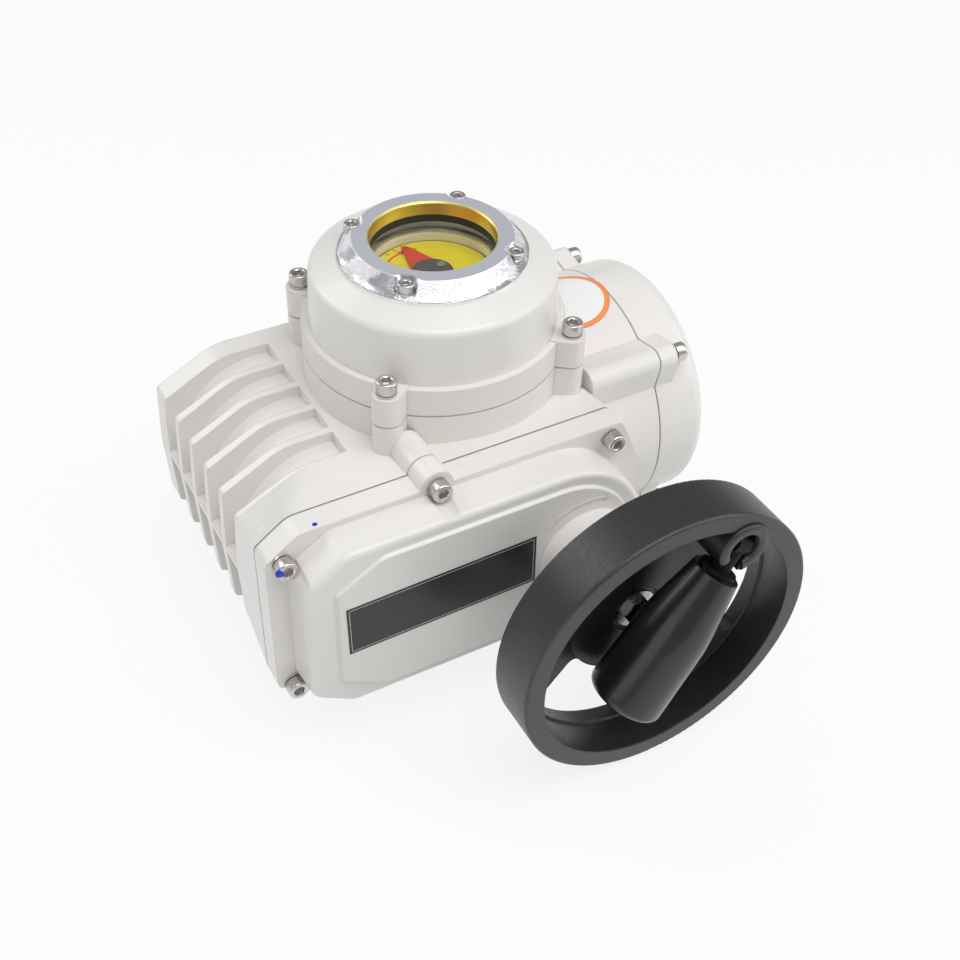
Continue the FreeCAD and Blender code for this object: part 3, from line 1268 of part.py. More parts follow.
def make_handwheel():
    """Dished wheel with three windows and the boss that the handle folds into."""
    body = new_body("handwheel")
    rim_inner = "(wheel_radius - rim_wall)"
    hub_back = f"({HUB_FRONT} + wheel_hub_length)"
    turn(body, "XY", "V_Axis", [
        ("shaft_radius", hub_back),
        ("shaft_radius", f"{HUB_FRONT} + 2"),
        ("13", f"{HUB_FRONT} + 2"),
        ("13", HUB_FRONT),
        ("window_inner", HUB_FRONT),
        (rim_inner, WEB_FRONT),
        (rim_inner, "-rim_front"),
        ("wheel_radius", "-rim_front", "rim_round"),
        ("wheel_radius", RIM_BACK, "rim_round"),
        (f"{rim_inner} - 2", RIM_BACK),
        ("window_inner - 2", f"{HUB_FRONT} + web_thickness"),
        ("wheel_hub_outer", f"{HUB_FRONT} + web_thickness"),
        ("wheel_hub_outer", hub_back)])
    tie(body, x=WORM_X, z=MID)
    sketch = sketch_on(body, "XZ", "-rim_front")
    sector(sketch, "window_inner", f"{rim_inner} - 1", "pivot_angle + 60", "window_half_angle", "6")
    window = pocket(body, sketch, "rim_width + 12", 1)
    repeat_round(body, [window], 3, "Y_Axis")
    # Handle boss with its bore and the slot toward the hub
    across, up = "pivot_radius * cos(pivot_angle * 1 deg)", "pivot_radius * sin(pivot_angle * 1 deg)"
    round_pad(body, "XZ", "-rim_front - 0.5", [(across, up)], "pivot_boss_radius",
              f"rim_front + {WEB_FRONT} + 3", 1)
    round_pocket(body, "XZ", "-rim_front - 0.5", [(across, up)], "pivot_bore", "16", 1)
    sketch = sketch_on(body, "XZ", "-rim_front - 0.5")
    ends = [("pivot_radius - pivot_boss_radius - 3", "-pivot_slot / 2"),
            ("pivot_radius", "-pivot_slot / 2"), ("pivot_radius", "pivot_slot / 2"),
            ("pivot_radius - pivot_boss_radius - 3", "pivot_slot / 2")]
    cosine, sine = "cos(pivot_angle * 1 deg)", "sin(pivot_angle * 1 deg)"
    outline(sketch, [(f"({along}) * {cosine} - ({side}) * {sine}",
                      f"({along}) * {sine} + ({side}) * {cosine}") for along, side in ends])
    pocket(body, sketch, "rim_front + 0.5 - grip_depth + neck_rod_radius + 1", 1)
    drill_pivot(body)
    return keep(body, "handwheel")


def drill_pivot(body):
    """The cross hole of the handle's pin, on a sketch plane turned to the pin."""
    sketch = body.newObject("Sketcher::SketchObject", "Sketch")
    support = [item for item in body.Origin.OriginFeatures if item.Role == "XY_Plane"][0]
    sketch.AttachmentSupport = [(support, "")]
    sketch.MapMode = "FlatFace"
    sketch.setExpression("AttachmentOffset", bound(
        "placement(vector(0; 0; 0); rotation(vector(0; 1; 0); -pivot_angle))"))
    circle(sketch, "pivot_radius", "-grip_depth", "pivot_pin_radius")
    doc.recompute()
    before = body.Tip.Shape.Volume
    feature = body.newObject("PartDesign::Pocket", "Pocket")
    feature.Profile = sketch
    feature.Midplane = True
    feature.setExpression("Length", bound("2 * pivot_boss_radius - 1"))
    doc.recompute()
    body.Tip = feature
    if feature.Shape.Volume > before - 0.001:
        raise RuntimeError("The pivot hole cuts nothing")


# The handle's own frame has its pin at the origin and the grip along +X
HANDLE_PLACE = ("placement(vector({x} + pivot_radius * cos(pivot_angle * 1 deg); -grip_depth;"
                " {z} + pivot_radius * sin(pivot_angle * 1 deg));"
                " rotation(vector(0; 1; 0); 180 - pivot_angle))").format(x=WORM_X, z=MID)


def make_handle():
    """Knuckle and spindle of the folding handle, the pin it folds on and the turning grip."""
    knuckle = rod("Knuckle", "pivot_bore * 0.7", "pivot_slot - 2", "0", "0",
                  "1 - pivot_slot / 2")
    neck = rod("Neck", "neck_rod_radius", "grip_start - 0.5", "0", "0", "0", "+X")
    spindle = rod("Spindle", "grip_spindle_radius", "grip_start + grip_length - 8",
                  "0", "0", "0", "+X")
    collar = rod("Collar", "grip_waist - 2.5", "2", "grip_start - 2.4", "0", "0", "+X")
    hole = rod("KnuckleHole", "pivot_pin_radius + running_fit", "20", "0", "0", "-10")
    solid = cut("HandleNeck", fuse("NeckSolid", [knuckle, neck, spindle, collar]), hole)
    solid.setExpression("Placement", bound(HANDLE_PLACE))
    keep(solid, "handle_neck")
    pin = rod("PivotPin", "pivot_pin_radius", "2 * pivot_boss_radius - 1.4", "0", "0", "0")
    holder = doc.addObject("Part::Compound", "PivotPinPlace")
    tie(pin, z="0.7 - pivot_boss_radius")
    holder.Links = [pin]
    holder.setExpression("Placement", bound(HANDLE_PLACE))
    keep(holder, "handle_pivot_pin")
    body = new_body("grip")
    end = "(grip_start + grip_length)"
    bore = "(grip_spindle_radius + running_fit)"
    turn(body, "XY", "H_Axis", [
        ("grip_start", bore), ("grip_start", "grip_waist"),
        ("grip_start + grip_length * 0.42", "grip_radius * 0.93", "110"),
        (end, "grip_radius", "4"), (end, "0"),
        (f"{end} - 7.5", "0"), (f"{end} - 7.5", bore)])
    body.setExpression("Placement", bound(HANDLE_PLACE))
    keep(body, "grip")


def make_wheel_screw():
    """Washer and screw that hold the handwheel on the end of its shaft."""
    washer = tube("WheelWasher", "10.5", "3.2", "1.6", WORM_X, f"{HUB_FRONT} + 2", MID, "-Y")
    keep(washer, "handwheel_washer")
    body = new_body("WheelScrew")
    sketch = sketch_on(body, "XY", "0")
    hexagon(sketch, "7.5")
    pad(body, sketch, "3.4", 1)
    round_pad(body, "XY", "0", CENTRE, "3", "14", -1)
    copies("handwheel_screw", body, [(WORM_X, f"{HUB_FRONT} + 0.4", MID)], "-Y")


def build():
    make_housing()
    make_turret_gasket()
    make_turret_cover()
    make_bezel()
    make_window()
    make_cover_gasket()
    make_front_cover()
    make_cap_gasket()
    make_end_cap()
    make_fasteners()
    make_gear_train()
    make_worm_shaft()
    make_worm_wheel()
    make_output_shaft()
    make_output_bearings()
    make_cam("open_cam", 1, "178")
    make_cam("close_cam", 2, "272")
    make_feedback()
    make_pointer()
    make_switches()
    make_bracket()
    make_motor()
    make_worm_bearings()
    make_electrics()
    make_conduit_plugs()
    make_handwheel()
    make_handle()
    make_wheel_screw()


def check_document():
    """Stops on any object that failed, and on any sub-part without a valid shape."""
    doc.recompute()
    for item in doc.Objects:
        if "Invalid" in item.State or "Error" in item.State:
            raise RuntimeError(f"{item.Label} failed: {item.State}")
    for item in parts:
        if item.Shape.isNull() or not item.Shape.isValid():
            raise RuntimeError(f"{item.Label} has no valid shape")


build()
check_document()
os.makedirs("parts", exist_ok=True)
for item in parts:
    item.Shape.exportStep(f"parts/{item.Label}.step")
print(f"{len(parts)} sub-parts written")
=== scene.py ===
import math

import bmesh
import bpy
from mathutils import Matrix, Vector


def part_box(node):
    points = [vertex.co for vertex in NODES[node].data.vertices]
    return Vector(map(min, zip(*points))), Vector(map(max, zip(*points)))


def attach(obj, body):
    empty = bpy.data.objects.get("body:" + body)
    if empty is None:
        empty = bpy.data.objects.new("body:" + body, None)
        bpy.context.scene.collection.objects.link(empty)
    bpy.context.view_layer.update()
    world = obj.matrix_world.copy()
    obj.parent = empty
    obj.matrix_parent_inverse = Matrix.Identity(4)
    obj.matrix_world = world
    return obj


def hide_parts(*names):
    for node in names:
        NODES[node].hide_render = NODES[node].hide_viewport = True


bl_info = {
    "name": "Valve Actuator",
    "version": (1, 0, 0),
    "blender": (4, 5, 0),
    "location": "3D View > Sidebar > Actuator",
    "description": "Finishes and small pieces of a rotary valve actuator",
    "category": "Object",
}

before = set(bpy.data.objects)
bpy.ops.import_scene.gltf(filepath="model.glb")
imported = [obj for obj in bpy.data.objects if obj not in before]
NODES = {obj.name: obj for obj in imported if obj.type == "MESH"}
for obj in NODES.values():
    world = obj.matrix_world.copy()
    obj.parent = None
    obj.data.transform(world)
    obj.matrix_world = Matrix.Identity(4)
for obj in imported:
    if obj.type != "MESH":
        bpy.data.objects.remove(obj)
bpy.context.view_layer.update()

# Lengths are in metres and angles in degrees. The valve side is down, the round wiring housing
# is at +X and the handwheel at -Y.

# Castings: the solid boss has its side between two radii, and the tip of a screw hole lies
# close below the flank
CASTING_NODES = ["housing", "turret_cover", "front_cover", "end_cap"]
AXIS_HEIGHT = 0.08
SHAFT_X = sum(point.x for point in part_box("worm_gear")) / 2
DRUM_RADIUS = 0.066
COVER_FACE = -0.1086
BOSS_RADIUS, BOSS_LENGTH, BOSS_BORE = 0.0248, 0.0146, 0.0165
SOLID_BOSS_SIDE = (0.0265, 0.02695)
HOLE_TIP = (-0.12272, -0.06576, 0.12294)
FLANK_NORMAL = (-0.505, 0.27, 0.82)

# Window
DIAL_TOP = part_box("dial_plate")[1].z
BEZEL_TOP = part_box("bezel_ring")[1].z
BEZEL_INNER = 0.0306
POINTER_ANGLE = 95
SCALE_RADIUS = 0.0293
LONG_MARK, SHORT_MARK = (0.0035, 0.0006), (0.0018, 0.0004)
DIGIT_RADIUS, DIGIT_SIZE = 0.0235, 0.0042
DIAL_ARROW_RADIUS = 0.0245
PRINT_HEIGHT = 0.0001

# Plate, sticker and arrow
LABEL_X, LABEL_Z, LABEL_TILT = -0.0506, 0.0847, -1.2
LABEL_THICKNESS = 0.0004
LINE_MARGIN, LINE_WIDTH, LINE_HEIGHT = 0.0012, 0.0004, 0.00006
STICKER_X, STICKER_LIFT, STICKER_THICKNESS = 0.0777, 0.0002, 0.00015
CAST_ARROW_RADIUS, CAST_ARROW_HEIGHT = 0.0315, 0.0004
CAST_ARROW_START, CAST_ARROW_END = 137, 72
ARROW_HALF_WIDTH = 0.0006

# Handwheel: the lip stands round the eye of the folding handle, open towards the shaft
RIM_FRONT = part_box("handwheel")[0].y
HANDLE_ANGLE, HANDLE_REACH = 56.5, 0.059
LIP_INNER, LIP_OUTER, LIP_HEIGHT, LIP_GAP = 0.0076, 0.0135, 0.0015, 34

# Fasteners: radius and height of each head and reach of its hexagon's flats, then inner radius,
# outer radius and height of the washers. Every second point round a head is drawn in a little.
LARGE_HEAD = (0.005, 0.006, 0.0025)
WINDOW_HEAD = (0.0041, 0.004, 0.0018)
LARGE_WASHER = (0.0031, 0.0049, 0.0017)
WINDOW_WASHER = (0.0021, 0.0041, 0.0012)
SCREW_POINTS = 72
KNURL_DEPTH = 0.985

# Stage: name, place, edge and power of each light, then the camera that matches the photograph
LIGHTS = (("key_light", (0.1, -0.6, 1.7), 1.3, 17.5),
          ("right_light", (1.4, -0.9, 0.9), 1.2, 9),
          ("left_light", (-1.5, -0.7, 0.8), 1.0, 3),
          ("back_light", (-0.8, 1.2, 1.2), 1.0, 8))
LIGHT_TARGET = (0, 0, 0.1)
FLOOR_GLOW = 0.84
SKY_STRENGTH = 0.345
CAMERA_PLACE = (-0.2610, -0.4965, 0.5508)
CAMERA_AZIMUTH, CAMERA_ELEVATION, CAMERA_ROLL = 28.32, 42.14, 0.53
LENS, SENSOR_WIDTH, LENS_SHIFT = 51.18, 36, (0.0389, 0.0094)


class ActuatorColours(bpy.types.PropertyGroup):
    """Colours of the seen pieces"""
    casting: bpy.props.FloatVectorProperty(
        name="Casting", description="Enamel on the castings", size=3, subtype="COLOR",
        min=0, max=1, default=(0.80, 0.775, 0.74))
    wheel: bpy.props.FloatVectorProperty(
        name="Handwheel", description="Coating of the handwheel", size=3, subtype="COLOR",
        min=0, max=1, default=(0.012, 0.012, 0.013))
    dial: bpy.props.FloatVectorProperty(
        name="Dial", description="Face of the position dial", size=3, subtype="COLOR",
        min=0, max=1, default=(0.95, 0.76, 0.012))
    pointer: bpy.props.FloatVectorProperty(
        name="Pointer", description="Position pointer and arrow", size=3, subtype="COLOR",
        min=0, max=1, default=(0.80, 0.035, 0.02))
    sticker: bpy.props.FloatVectorProperty(
        name="Sticker ring", description="Ring of the round sticker", size=3, subtype="COLOR",
        min=0, max=1, default=(0.90, 0.29, 0.09))


class ActuatorSizes(bpy.types.PropertyGroup):
    """Sizes of the plate and the sticker, and the surface of the enamel"""
    label_length: bpy.props.FloatProperty(
        name="Label length", description="Length of the bare plate on the front cover",
        default=0.0995, unit="LENGTH")
    label_height: bpy.props.FloatProperty(
        name="Label height", description="Height of the bare plate on the front cover",
        default=0.03, unit="LENGTH")
    sticker_radius: bpy.props.FloatProperty(
        name="Sticker radius", description="Radius of the round sticker on the wiring housing",
        default=0.024, unit="LENGTH")
    peel_depth: bpy.props.FloatProperty(
        name="Orange peel", description="Strength of the enamel's orange peel",
        default=0.18, min=0, max=1)
    edge_softness: bpy.props.FloatProperty(
        name="Edge softness", description="Radius of the softened casting edges",
        default=0.0013, unit="LENGTH")


# Materials

class Finish:
    """A material under construction: a Principled shader and the nodes that feed it."""

    def __init__(self, name, colour, roughness, metallic=0.0):
        self.material = bpy.data.materials.new(name)
        self.material.use_nodes = True
        self.tree = self.material.node_tree
        self.shader = self.tree.nodes["Principled BSDF"]
        self.shader.inputs["Base Color"].default_value = (*colour, 1)
        self.shader.inputs["Roughness"].default_value = roughness
        self.shader.inputs["Metallic"].default_value = metallic
        self.place = self.node("TexCoord").outputs["Object"]

    def node(self, kind, **settings):
        """A new shader node with its settings."""
        node = self.tree.nodes.new(f"ShaderNode{kind}")
        for name, value in settings.items():
            setattr(node, name, value)
        return node

    def link(self, source, target):
        """Feeds the target socket from the source socket."""
        self.tree.links.new(source, target)

    def noise(self, scale, detail, roughness=0.5):
        """Noise over the object, with the scale in lumps per metre."""
        node = self.node("TexNoise")
        node.inputs["Scale"].default_value = scale
        node.inputs["Detail"].default_value = detail
        node.inputs["Roughness"].default_value = roughness
        self.link(self.place, node.inputs["Vector"])
        return node.outputs["Fac"]

    def ramp(self, value, low, high, start, end):
        """The value's stretch from low to high, spread from start to end."""
        node = self.node("MapRange")
        node.inputs["From Min"].default_value = low
        node.inputs["From Max"].default_value = high
        node.inputs["To Min"].default_value = start
        node.inputs["To Max"].default_value = end
        self.link(value, node.inputs["Value"])
        return node.outputs["Result"]

    def maths(self, operation, first, second):
        """A calculation on two values, each a number or a socket."""
        node = self.node("Math", operation=operation)
        for socket, value in zip(node.inputs, (first, second)):
            if isinstance(value, (int, float)):
                socket.default_value = value
            else:
                self.link(value, socket)
        return node.outputs["Value"]

    def mix(self, factor, first, second):
        """A colour between two, each a colour or a socket."""
        node = self.node("Mix", data_type="RGBA")
        for name, value in (("A", first), ("B", second)):
            socket = [item for item in node.inputs if item.name == name and item.type == "RGBA"][0]
            if isinstance(value, tuple):
                socket.default_value = (*value, 1)
            else:
                self.link(value, socket)
        self.link(factor, node.inputs[0])
        return [item for item in node.outputs if item.type == "RGBA"][0]

    def bump(self, height, distance, strength, softness=0.0):
        """Relief from a height socket, over edges softened by a radius."""
        node = self.node("Bump")
        node.inputs["Distance"].default_value = distance
        node.inputs["Strength"].default_value = strength
        self.link(height, node.inputs["Height"])
        if softness:
            bevel = self.node("Bevel", samples=4)
            bevel.inputs["Radius"].default_value = softness
            self.link(bevel.outputs["Normal"], node.inputs["Normal"])
        self.link(node.outputs["Normal"], self.shader.inputs["Normal"])

    def colour(self, socket):
        """Takes the colour from a socket."""
        self.link(socket, self.shader.inputs["Base Color"])

    def rough(self, socket):
        """Takes the roughness from a socket."""
        self.link(socket, self.shader.inputs["Roughness"])

    def uneven_colour(self, grain, colour, share):
        """The colour, scaled by the share where the grain is low."""
        self.colour(self.mix(grain, tinted(colour, share), colour))

    def uneven_gloss(self, grain, low, high):
        """Roughness that follows the grain from low to high."""
        self.rough(self.ramp(grain, 0.3, 0.7, low, high))

    def reflect(self, level):
        """Strength of the plain reflection, where 0.5 is usual."""
        self.shader.inputs["Specular IOR Level"].default_value = level

    def coat(self, weight, roughness):
        """A clear coat over the shader."""
        self.shader.inputs["Coat Weight"].default_value = weight
        self.shader.inputs["Coat Roughness"].default_value = roughness

    def blend(self, share, first, second):
        """Makes the surface a mix of two shaders, with the second one's share from a socket."""
        mix = self.node("MixShader")
        self.link(share, mix.inputs["Fac"])
        self.link(first, mix.inputs[1])
        self.link(second, mix.inputs[2])
        self.link(mix.outputs["Shader"], self.tree.nodes["Material Output"].inputs["Surface"])


def tinted(colour, share):
    """The colour with each channel scaled by the share."""
    return tuple(channel * share for channel in colour)


def enamel(name, colour, peel, softness):
    """Semi-gloss enamel sprayed on a casting: fine orange peel and a slight change of tone."""
    finish = Finish(name, colour, 0.3)
    finish.uneven_colour(finish.noise(28, 2), colour, 0.96)
    finish.rough(finish.ramp(finish.noise(45, 1), 0.2, 0.8, 0.31, 0.4))
    finish.bump(finish.noise(420, 2), 0.0004, peel, softness)
    finish.coat(0.3, 0.14)
    return finish.material


def plain_rubber(name, colour=(0.018, 0.018, 0.019)):
    """Matt rubber or seal paper with a fine grain."""
    finish = Finish(name, colour, 0.6)
    finish.uneven_gloss(finish.noise(900, 2), 0.5, 0.75)
    finish.bump(finish.noise(1500, 2), 0.0001, 0.4)
    return finish.material


def steel(name, colour, roughness):
    """Bare metal: a fine grain with slight changes of gloss."""
    finish = Finish(name, colour, roughness, 1.0)
    grain = finish.noise(900, 3)
    finish.uneven_gloss(grain, roughness - 0.08, roughness + 0.1)
    finish.uneven_colour(finish.noise(220, 3), colour, 0.86)
    finish.bump(grain, 0.00004, 0.12)
    return finish.material


def moulded_plastic(name, colour, roughness=0.45, coat=0.0, reflection=0.5):
    """Moulded plastic with a fine grain and softened edges."""
    finish = Finish(name, colour, roughness)
    finish.reflect(reflection)
    finish.uneven_gloss(finish.noise(500, 3), roughness - 0.06, roughness + 0.06)
    finish.uneven_colour(finish.noise(90, 2), colour, 0.9)
    finish.bump(finish.noise(1300, 2), 0.00008, 0.3, 0.0004)
    finish.coat(coat, 0.08)
    return finish.material


def satin_black(name, colour):
    """Satin coating of the handwheel, with a fine even grain."""
    finish = Finish(name, colour, 0.4)
    finish.reflect(0.8)
    finish.uneven_gloss(finish.noise(700, 3), 0.34, 0.48)
    finish.colour(finish.mix(finish.noise(50, 3), tinted(colour, 0.8), tinted(colour, 1.25)))
    finish.bump(finish.noise(1600, 2), 0.00004, 0.15, 0.0012)
    return finish.material


def gloss_black(name):
    """Glossy black plastic of the grip, faintly wavy."""
    finish = Finish(name, (0.008, 0.008, 0.009), 0.34)
    finish.uneven_gloss(finish.noise(120, 3), 0.3, 0.38)
    finish.bump(finish.noise(160, 2), 0.0002, 0.1, 0.0008)
    finish.coat(0.4, 0.12)
    return finish.material


def bezel_metal(name, inner):
    """Plated metal: satin flat, bright speckled cone, and a painted reflection of the yellow dial
    as a gold tone on the inner wall.
    """
    finish = Finish(name, (0.80, 0.82, 0.86), 0.2, 1.0)
    split = finish.node("SeparateXYZ")
    finish.link(finish.place, split.inputs["Vector"])
    across, along, height = (split.outputs[axis] for axis in "XYZ")
    # flat is 1 on the top face, wall is 1 on the inner wall, and the cone is the rest
    flat = finish.ramp(height, BEZEL_TOP - 0.0005, BEZEL_TOP - 0.0003, 0.0, 1.0)
    square = finish.maths("ADD", finish.maths("MULTIPLY", across, across),
                          finish.maths("MULTIPLY", along, along))
    reach = finish.maths("SQRT", square, 0)
    wall = finish.ramp(reach, inner + 0.0005, inner + 0.001, 1.0, 0.0)
    tone = finish.mix(flat, (0.92, 0.92, 0.94), (0.92, 0.93, 0.98))
    # The inner wall gets a gold colour: a painted reflection of the yellow dial in the plated wall
    finish.colour(finish.mix(wall, tone, (0.80, 0.62, 0.20)))
    finish.rough(finish.maths("ADD", finish.ramp(flat, 0, 1, 0.18, 0.48),
                              finish.ramp(wall, 0, 1, 0, 0.14)))
    cone = finish.ramp(finish.maths("MAXIMUM", flat, wall), 0, 1, 1.0, 0.04)
    clumps = finish.ramp(finish.noise(75, 1), 0.45, 0.6, 0.2, 1.0)
    grain = finish.maths("SUBTRACT", finish.noise(1100, 2, 0.7), 0.5)
    relief = finish.maths("MULTIPLY", grain, finish.maths("MULTIPLY", cone, clumps))
    finish.bump(relief, 0.0007, 1.0)
    return finish.material


def window_glass(name):
    """Clear glass: what is behind it shows straight through, with a faint gloss on top."""
    finish = Finish(name, (0.9, 0.95, 0.93), 0.02)
    clear = finish.node("BsdfTransparent")
    clear.inputs["Color"].default_value = (0.985, 1, 0.99, 1)
    gloss = finish.node("BsdfGlossy")
    gloss.inputs["Color"].default_value = (1, 1, 1, 1)
    finish.link(finish.ramp(finish.noise(40, 2), 0.3, 0.7, 0.01, 0.05), gloss.inputs["Roughness"])
    edge = finish.node("LayerWeight").outputs["Facing"]
    share = finish.ramp(finish.maths("POWER", edge, 4.0), 0, 1, 0.04, 0.7)
    finish.blend(share, clear.outputs["BSDF"], gloss.outputs["BSDF"])
    finish.tree.nodes.remove(finish.shader)
    return finish.material


def printed(name, colour, roughness=0.35):
    """Flat printing ink or foil with a faint unevenness."""
    finish = Finish(name, colour, roughness)
    finish.uneven_colour(finish.noise(300, 2), colour, 0.93)
    finish.uneven_gloss(finish.noise(800, 2), roughness - 0.05, roughness + 0.08)
    return finish.material


def dress(nodes, material):
    """Gives the material to the CAD nodes."""
    for name in nodes:
        item = NODES[name]
        item.data.materials.clear()
        item.data.materials.append(material)


# Mesh helpers

def mesh_from(name, bm):
    """A mesh from a bmesh, which is freed."""
    mesh = bpy.data.meshes.new(name)
    bm.to_mesh(mesh)
    bm.free()
    return mesh


def linked(name, data):
    """A new object, linked into the scene."""
    item = bpy.data.objects.new(name, data)
    bpy.context.scene.collection.objects.link(item)
    return item


def piece(name, bm, material, body):
    """An object from a bmesh, riding on a body."""
    item = linked(name, mesh_from(name, bm))
    item.data.materials.append(material)
    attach(item, body)
    return item


def smooth(item, angle=35):
    """Shades smooth, with edges sharper than the angle kept."""
    item.data.shade_smooth()
    item.data.set_sharp_from_angle(angle=math.radians(angle))


def smoothed(node, material, body, angle=30):
    """A copy of a CAD node with its corners joined, so that round faces shade smooth."""
    bm = joined(node)
    item = piece(f"{node}_smooth", bm, material, body)
    smooth(item, angle)
    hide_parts(node)


def joined(node):
    """A bmesh of a CAD node with the corners of its loose triangles joined."""
    bm = bmesh.new()
    bm.from_mesh(NODES[node].data)
    bmesh.ops.remove_doubles(bm, verts=bm.verts, dist=1e-6)
    return bm


def turned(angle, axis="Z"):
    """A rotation about an axis of the frame."""
    return Matrix.Rotation(math.radians(angle), 4, axis)


def direction(axis, turn=0.0):
    """A rotation that takes +Z to the axis, after a turn about it in radians."""
    return Vector(axis).to_track_quat("Z", "Y").to_matrix().to_4x4() @ Matrix.Rotation(turn, 4, "Z")


def on_cover(x, z, tilt=0):
    """Takes a shape that lies flat, its top up, onto the face of the front cover."""
    return Matrix.Translation((x, COVER_FACE, z)) @ turned(tilt, "Y") @ turned(90, "X")


def moved(bm, place):
    """The whole bmesh, moved by a matrix."""
    bmesh.ops.transform(bm, matrix=place, verts=bm.verts)
    return bm


def repeat(bm, template, places):
    """Adds copies of a mesh, each moved by a matrix."""
    for place in places:
        before = len(bm.verts)
        bm.from_mesh(template)
        bm.verts.ensure_lookup_table()
        bmesh.ops.transform(bm, matrix=place, verts=bm.verts[before:])
    return bm


def thicken(bm, height):
    """Raises flat faces to a closed body."""
    raised = bmesh.ops.extrude_face_region(bm, geom=list(bm.faces))["geom"]
    bmesh.ops.translate(bm, vec=(0, 0, height),
                        verts=[item for item in raised if isinstance(item, bmesh.types.BMVert)])
    bmesh.ops.recalc_face_normals(bm, faces=bm.faces)


def lathe(profile, count=96, turn=360):
    """A body turned about Z from a closed outline of (radius, height) points."""
    bm = bmesh.new()
    corners = [bm.verts.new((radius, 0, height)) for radius, height in profile]
    face = bm.faces.new(corners)
    whole = turn == 360
    edges = list(face.edges)
    geometry = corners + edges + ([] if whole else [face])
    if whole:
        bm.faces.remove(face)
    bmesh.ops.spin(bm, geom=geometry, cent=(0, 0, 0), axis=(0, 0, 1), angle=math.radians(turn),
                   steps=count, use_merge=whole)
    if whole:
        bmesh.ops.remove_doubles(bm, verts=bm.verts, dist=1e-7)
    bmesh.ops.recalc_face_normals(bm, faces=bm.faces)
    return bm


def stacked_rings(bm, steps, count):
    """A closed body extruded ring by ring from (radius, height, corners), 0 for a circle."""
    bmesh.ops.create_circle(bm, cap_ends=True, segments=count, radius=1)
    top, rings = bm.faces[:], []
    for radius, height, corners in steps:
        if rings:
            made = bmesh.ops.extrude_face_region(bm, geom=top)["geom"]
            # The first face stays as the underside, each later one would be a wall inside
            if len(rings) > 1:
                bmesh.ops.delete(bm, geom=top, context="FACES_ONLY")
            top = [item for item in made if isinstance(item, bmesh.types.BMFace)]
        ring = list(top[0].verts)
        for vert in ring:
            angle = math.atan2(vert.co.y, vert.co.x)
            reach = radius
            if corners:
                side = 2 * math.pi / corners
                reach = radius / math.cos(angle % side - side / 2)
            vert.co = Vector((reach * math.cos(angle), reach * math.sin(angle), height))
        rings.append(ring)
    return rings


def solid_boxes(node):
    """The lowest and highest corner of each separate solid in a node."""
    bm = joined(node)
    seen, found = set(), []
    for start in bm.verts:
        if start.index in seen:
            continue
        island, queue = [], [start]
        seen.add(start.index)
        while queue:
            vert = queue.pop()
            island.append(vert.co.copy())
            for edge in vert.link_edges:
                other = edge.other_vert(vert)
                if other.index not in seen:
                    seen.add(other.index)
                    queue.append(other)
        low = Vector([min(co[i] for co in island) for i in range(3)])
        high = Vector([max(co[i] for co in island) for i in range(3)])
        found.append((low, high))
    bm.free()
    return found


# Castings and paint

def slim_boss_cover(paint):
    """The front cover with its boss drawn in to the radius of the long boss that covers it."""
    mesh = NODES["front_cover"].data.copy()
    middle = Vector((SHAFT_X, 0, AXIS_HEIGHT))
    near, far = SOLID_BOSS_SIDE
    for vert in mesh.vertices:
        spoke = Vector((vert.co.x, 0, vert.co.z)) - middle
        if vert.co.y < COVER_FACE + 0.0001 and near < spoke.length < far:
            spoke *= (BOSS_RADIUS - 0.0002) / spoke.length
            vert.co.x, vert.co.z = middle.x + spoke.x, middle.z + spoke.z
    mesh.materials.clear()
    mesh.materials.append(paint)
    item = linked("front_cover_slim", mesh)
    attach(item, "housing")
    return item


def shaft_boss(paint):
    """The long boss, a sleeve with a small chamfer round the hub of the handwheel."""
    chamfer = 0.001
    bm = lathe([(BOSS_BORE, 0.0005), (BOSS_RADIUS, 0), (BOSS_RADIUS, BOSS_LENGTH - chamfer),
                (BOSS_RADIUS - chamfer, BOSS_LENGTH), (BOSS_BORE, BOSS_LENGTH)])
    moved(bm, on_cover(SHAFT_X, AXIS_HEIGHT))
    smooth(piece("shaft_boss", bm, paint, "housing"))


def dab(name, place, half_sizes, paint, columns=16, rows=8):
    """A flattened ball of paint on the castings."""
    bm = bmesh.new()
    bmesh.ops.create_uvsphere(bm, u_segments=columns, v_segments=rows, radius=1,
                              matrix=place @ Matrix.Diagonal((*half_sizes, 1)))
    smooth(piece(name, bm, paint, "housing"), 60)


# Fasteners

def screw_mesh(head, height, socket):
    """A socket head with a rounded edge and a faint knurl, its underside at the origin."""
    bm = bmesh.new()
    soft = head * 0.2
    underside = [(head * 0.6, 0, 0), (head * 0.96, 0, 0)]
    side = [(head, head * 0.05, 0), (head, height - soft * 1.4, 0)]
    edge = [(head, height - soft, 0)]
    for turn in (25, 50, 70, 90):
        angle = math.radians(turn)
        edge.append((head - soft * (1 - math.cos(angle)),
                     height - soft * (1 - math.sin(angle)), 0))
    mouth = [(socket * 1.28, height, 0), (socket * 1.14, height - socket * 0.1, 0)]
    hexagon = [(socket, height - socket * 0.22, 6), (socket, height * 0.45, 6),
               (socket * 0.3, height * 0.38, 6)]
    rings = stacked_rings(bm, underside + side + edge + mouth + hexagon, SCREW_POINTS)
    for vert in rings[2] + rings[3]:
        point = math.atan2(vert.co.y, vert.co.x) * SCREW_POINTS / (2 * math.pi)
        if round(point) % 2:
            vert.co.x *= KNURL_DEPTH
            vert.co.y *= KNURL_DEPTH
    bmesh.ops.recalc_face_normals(bm, faces=bm.faces)
    return mesh_from("screw_template", bm)


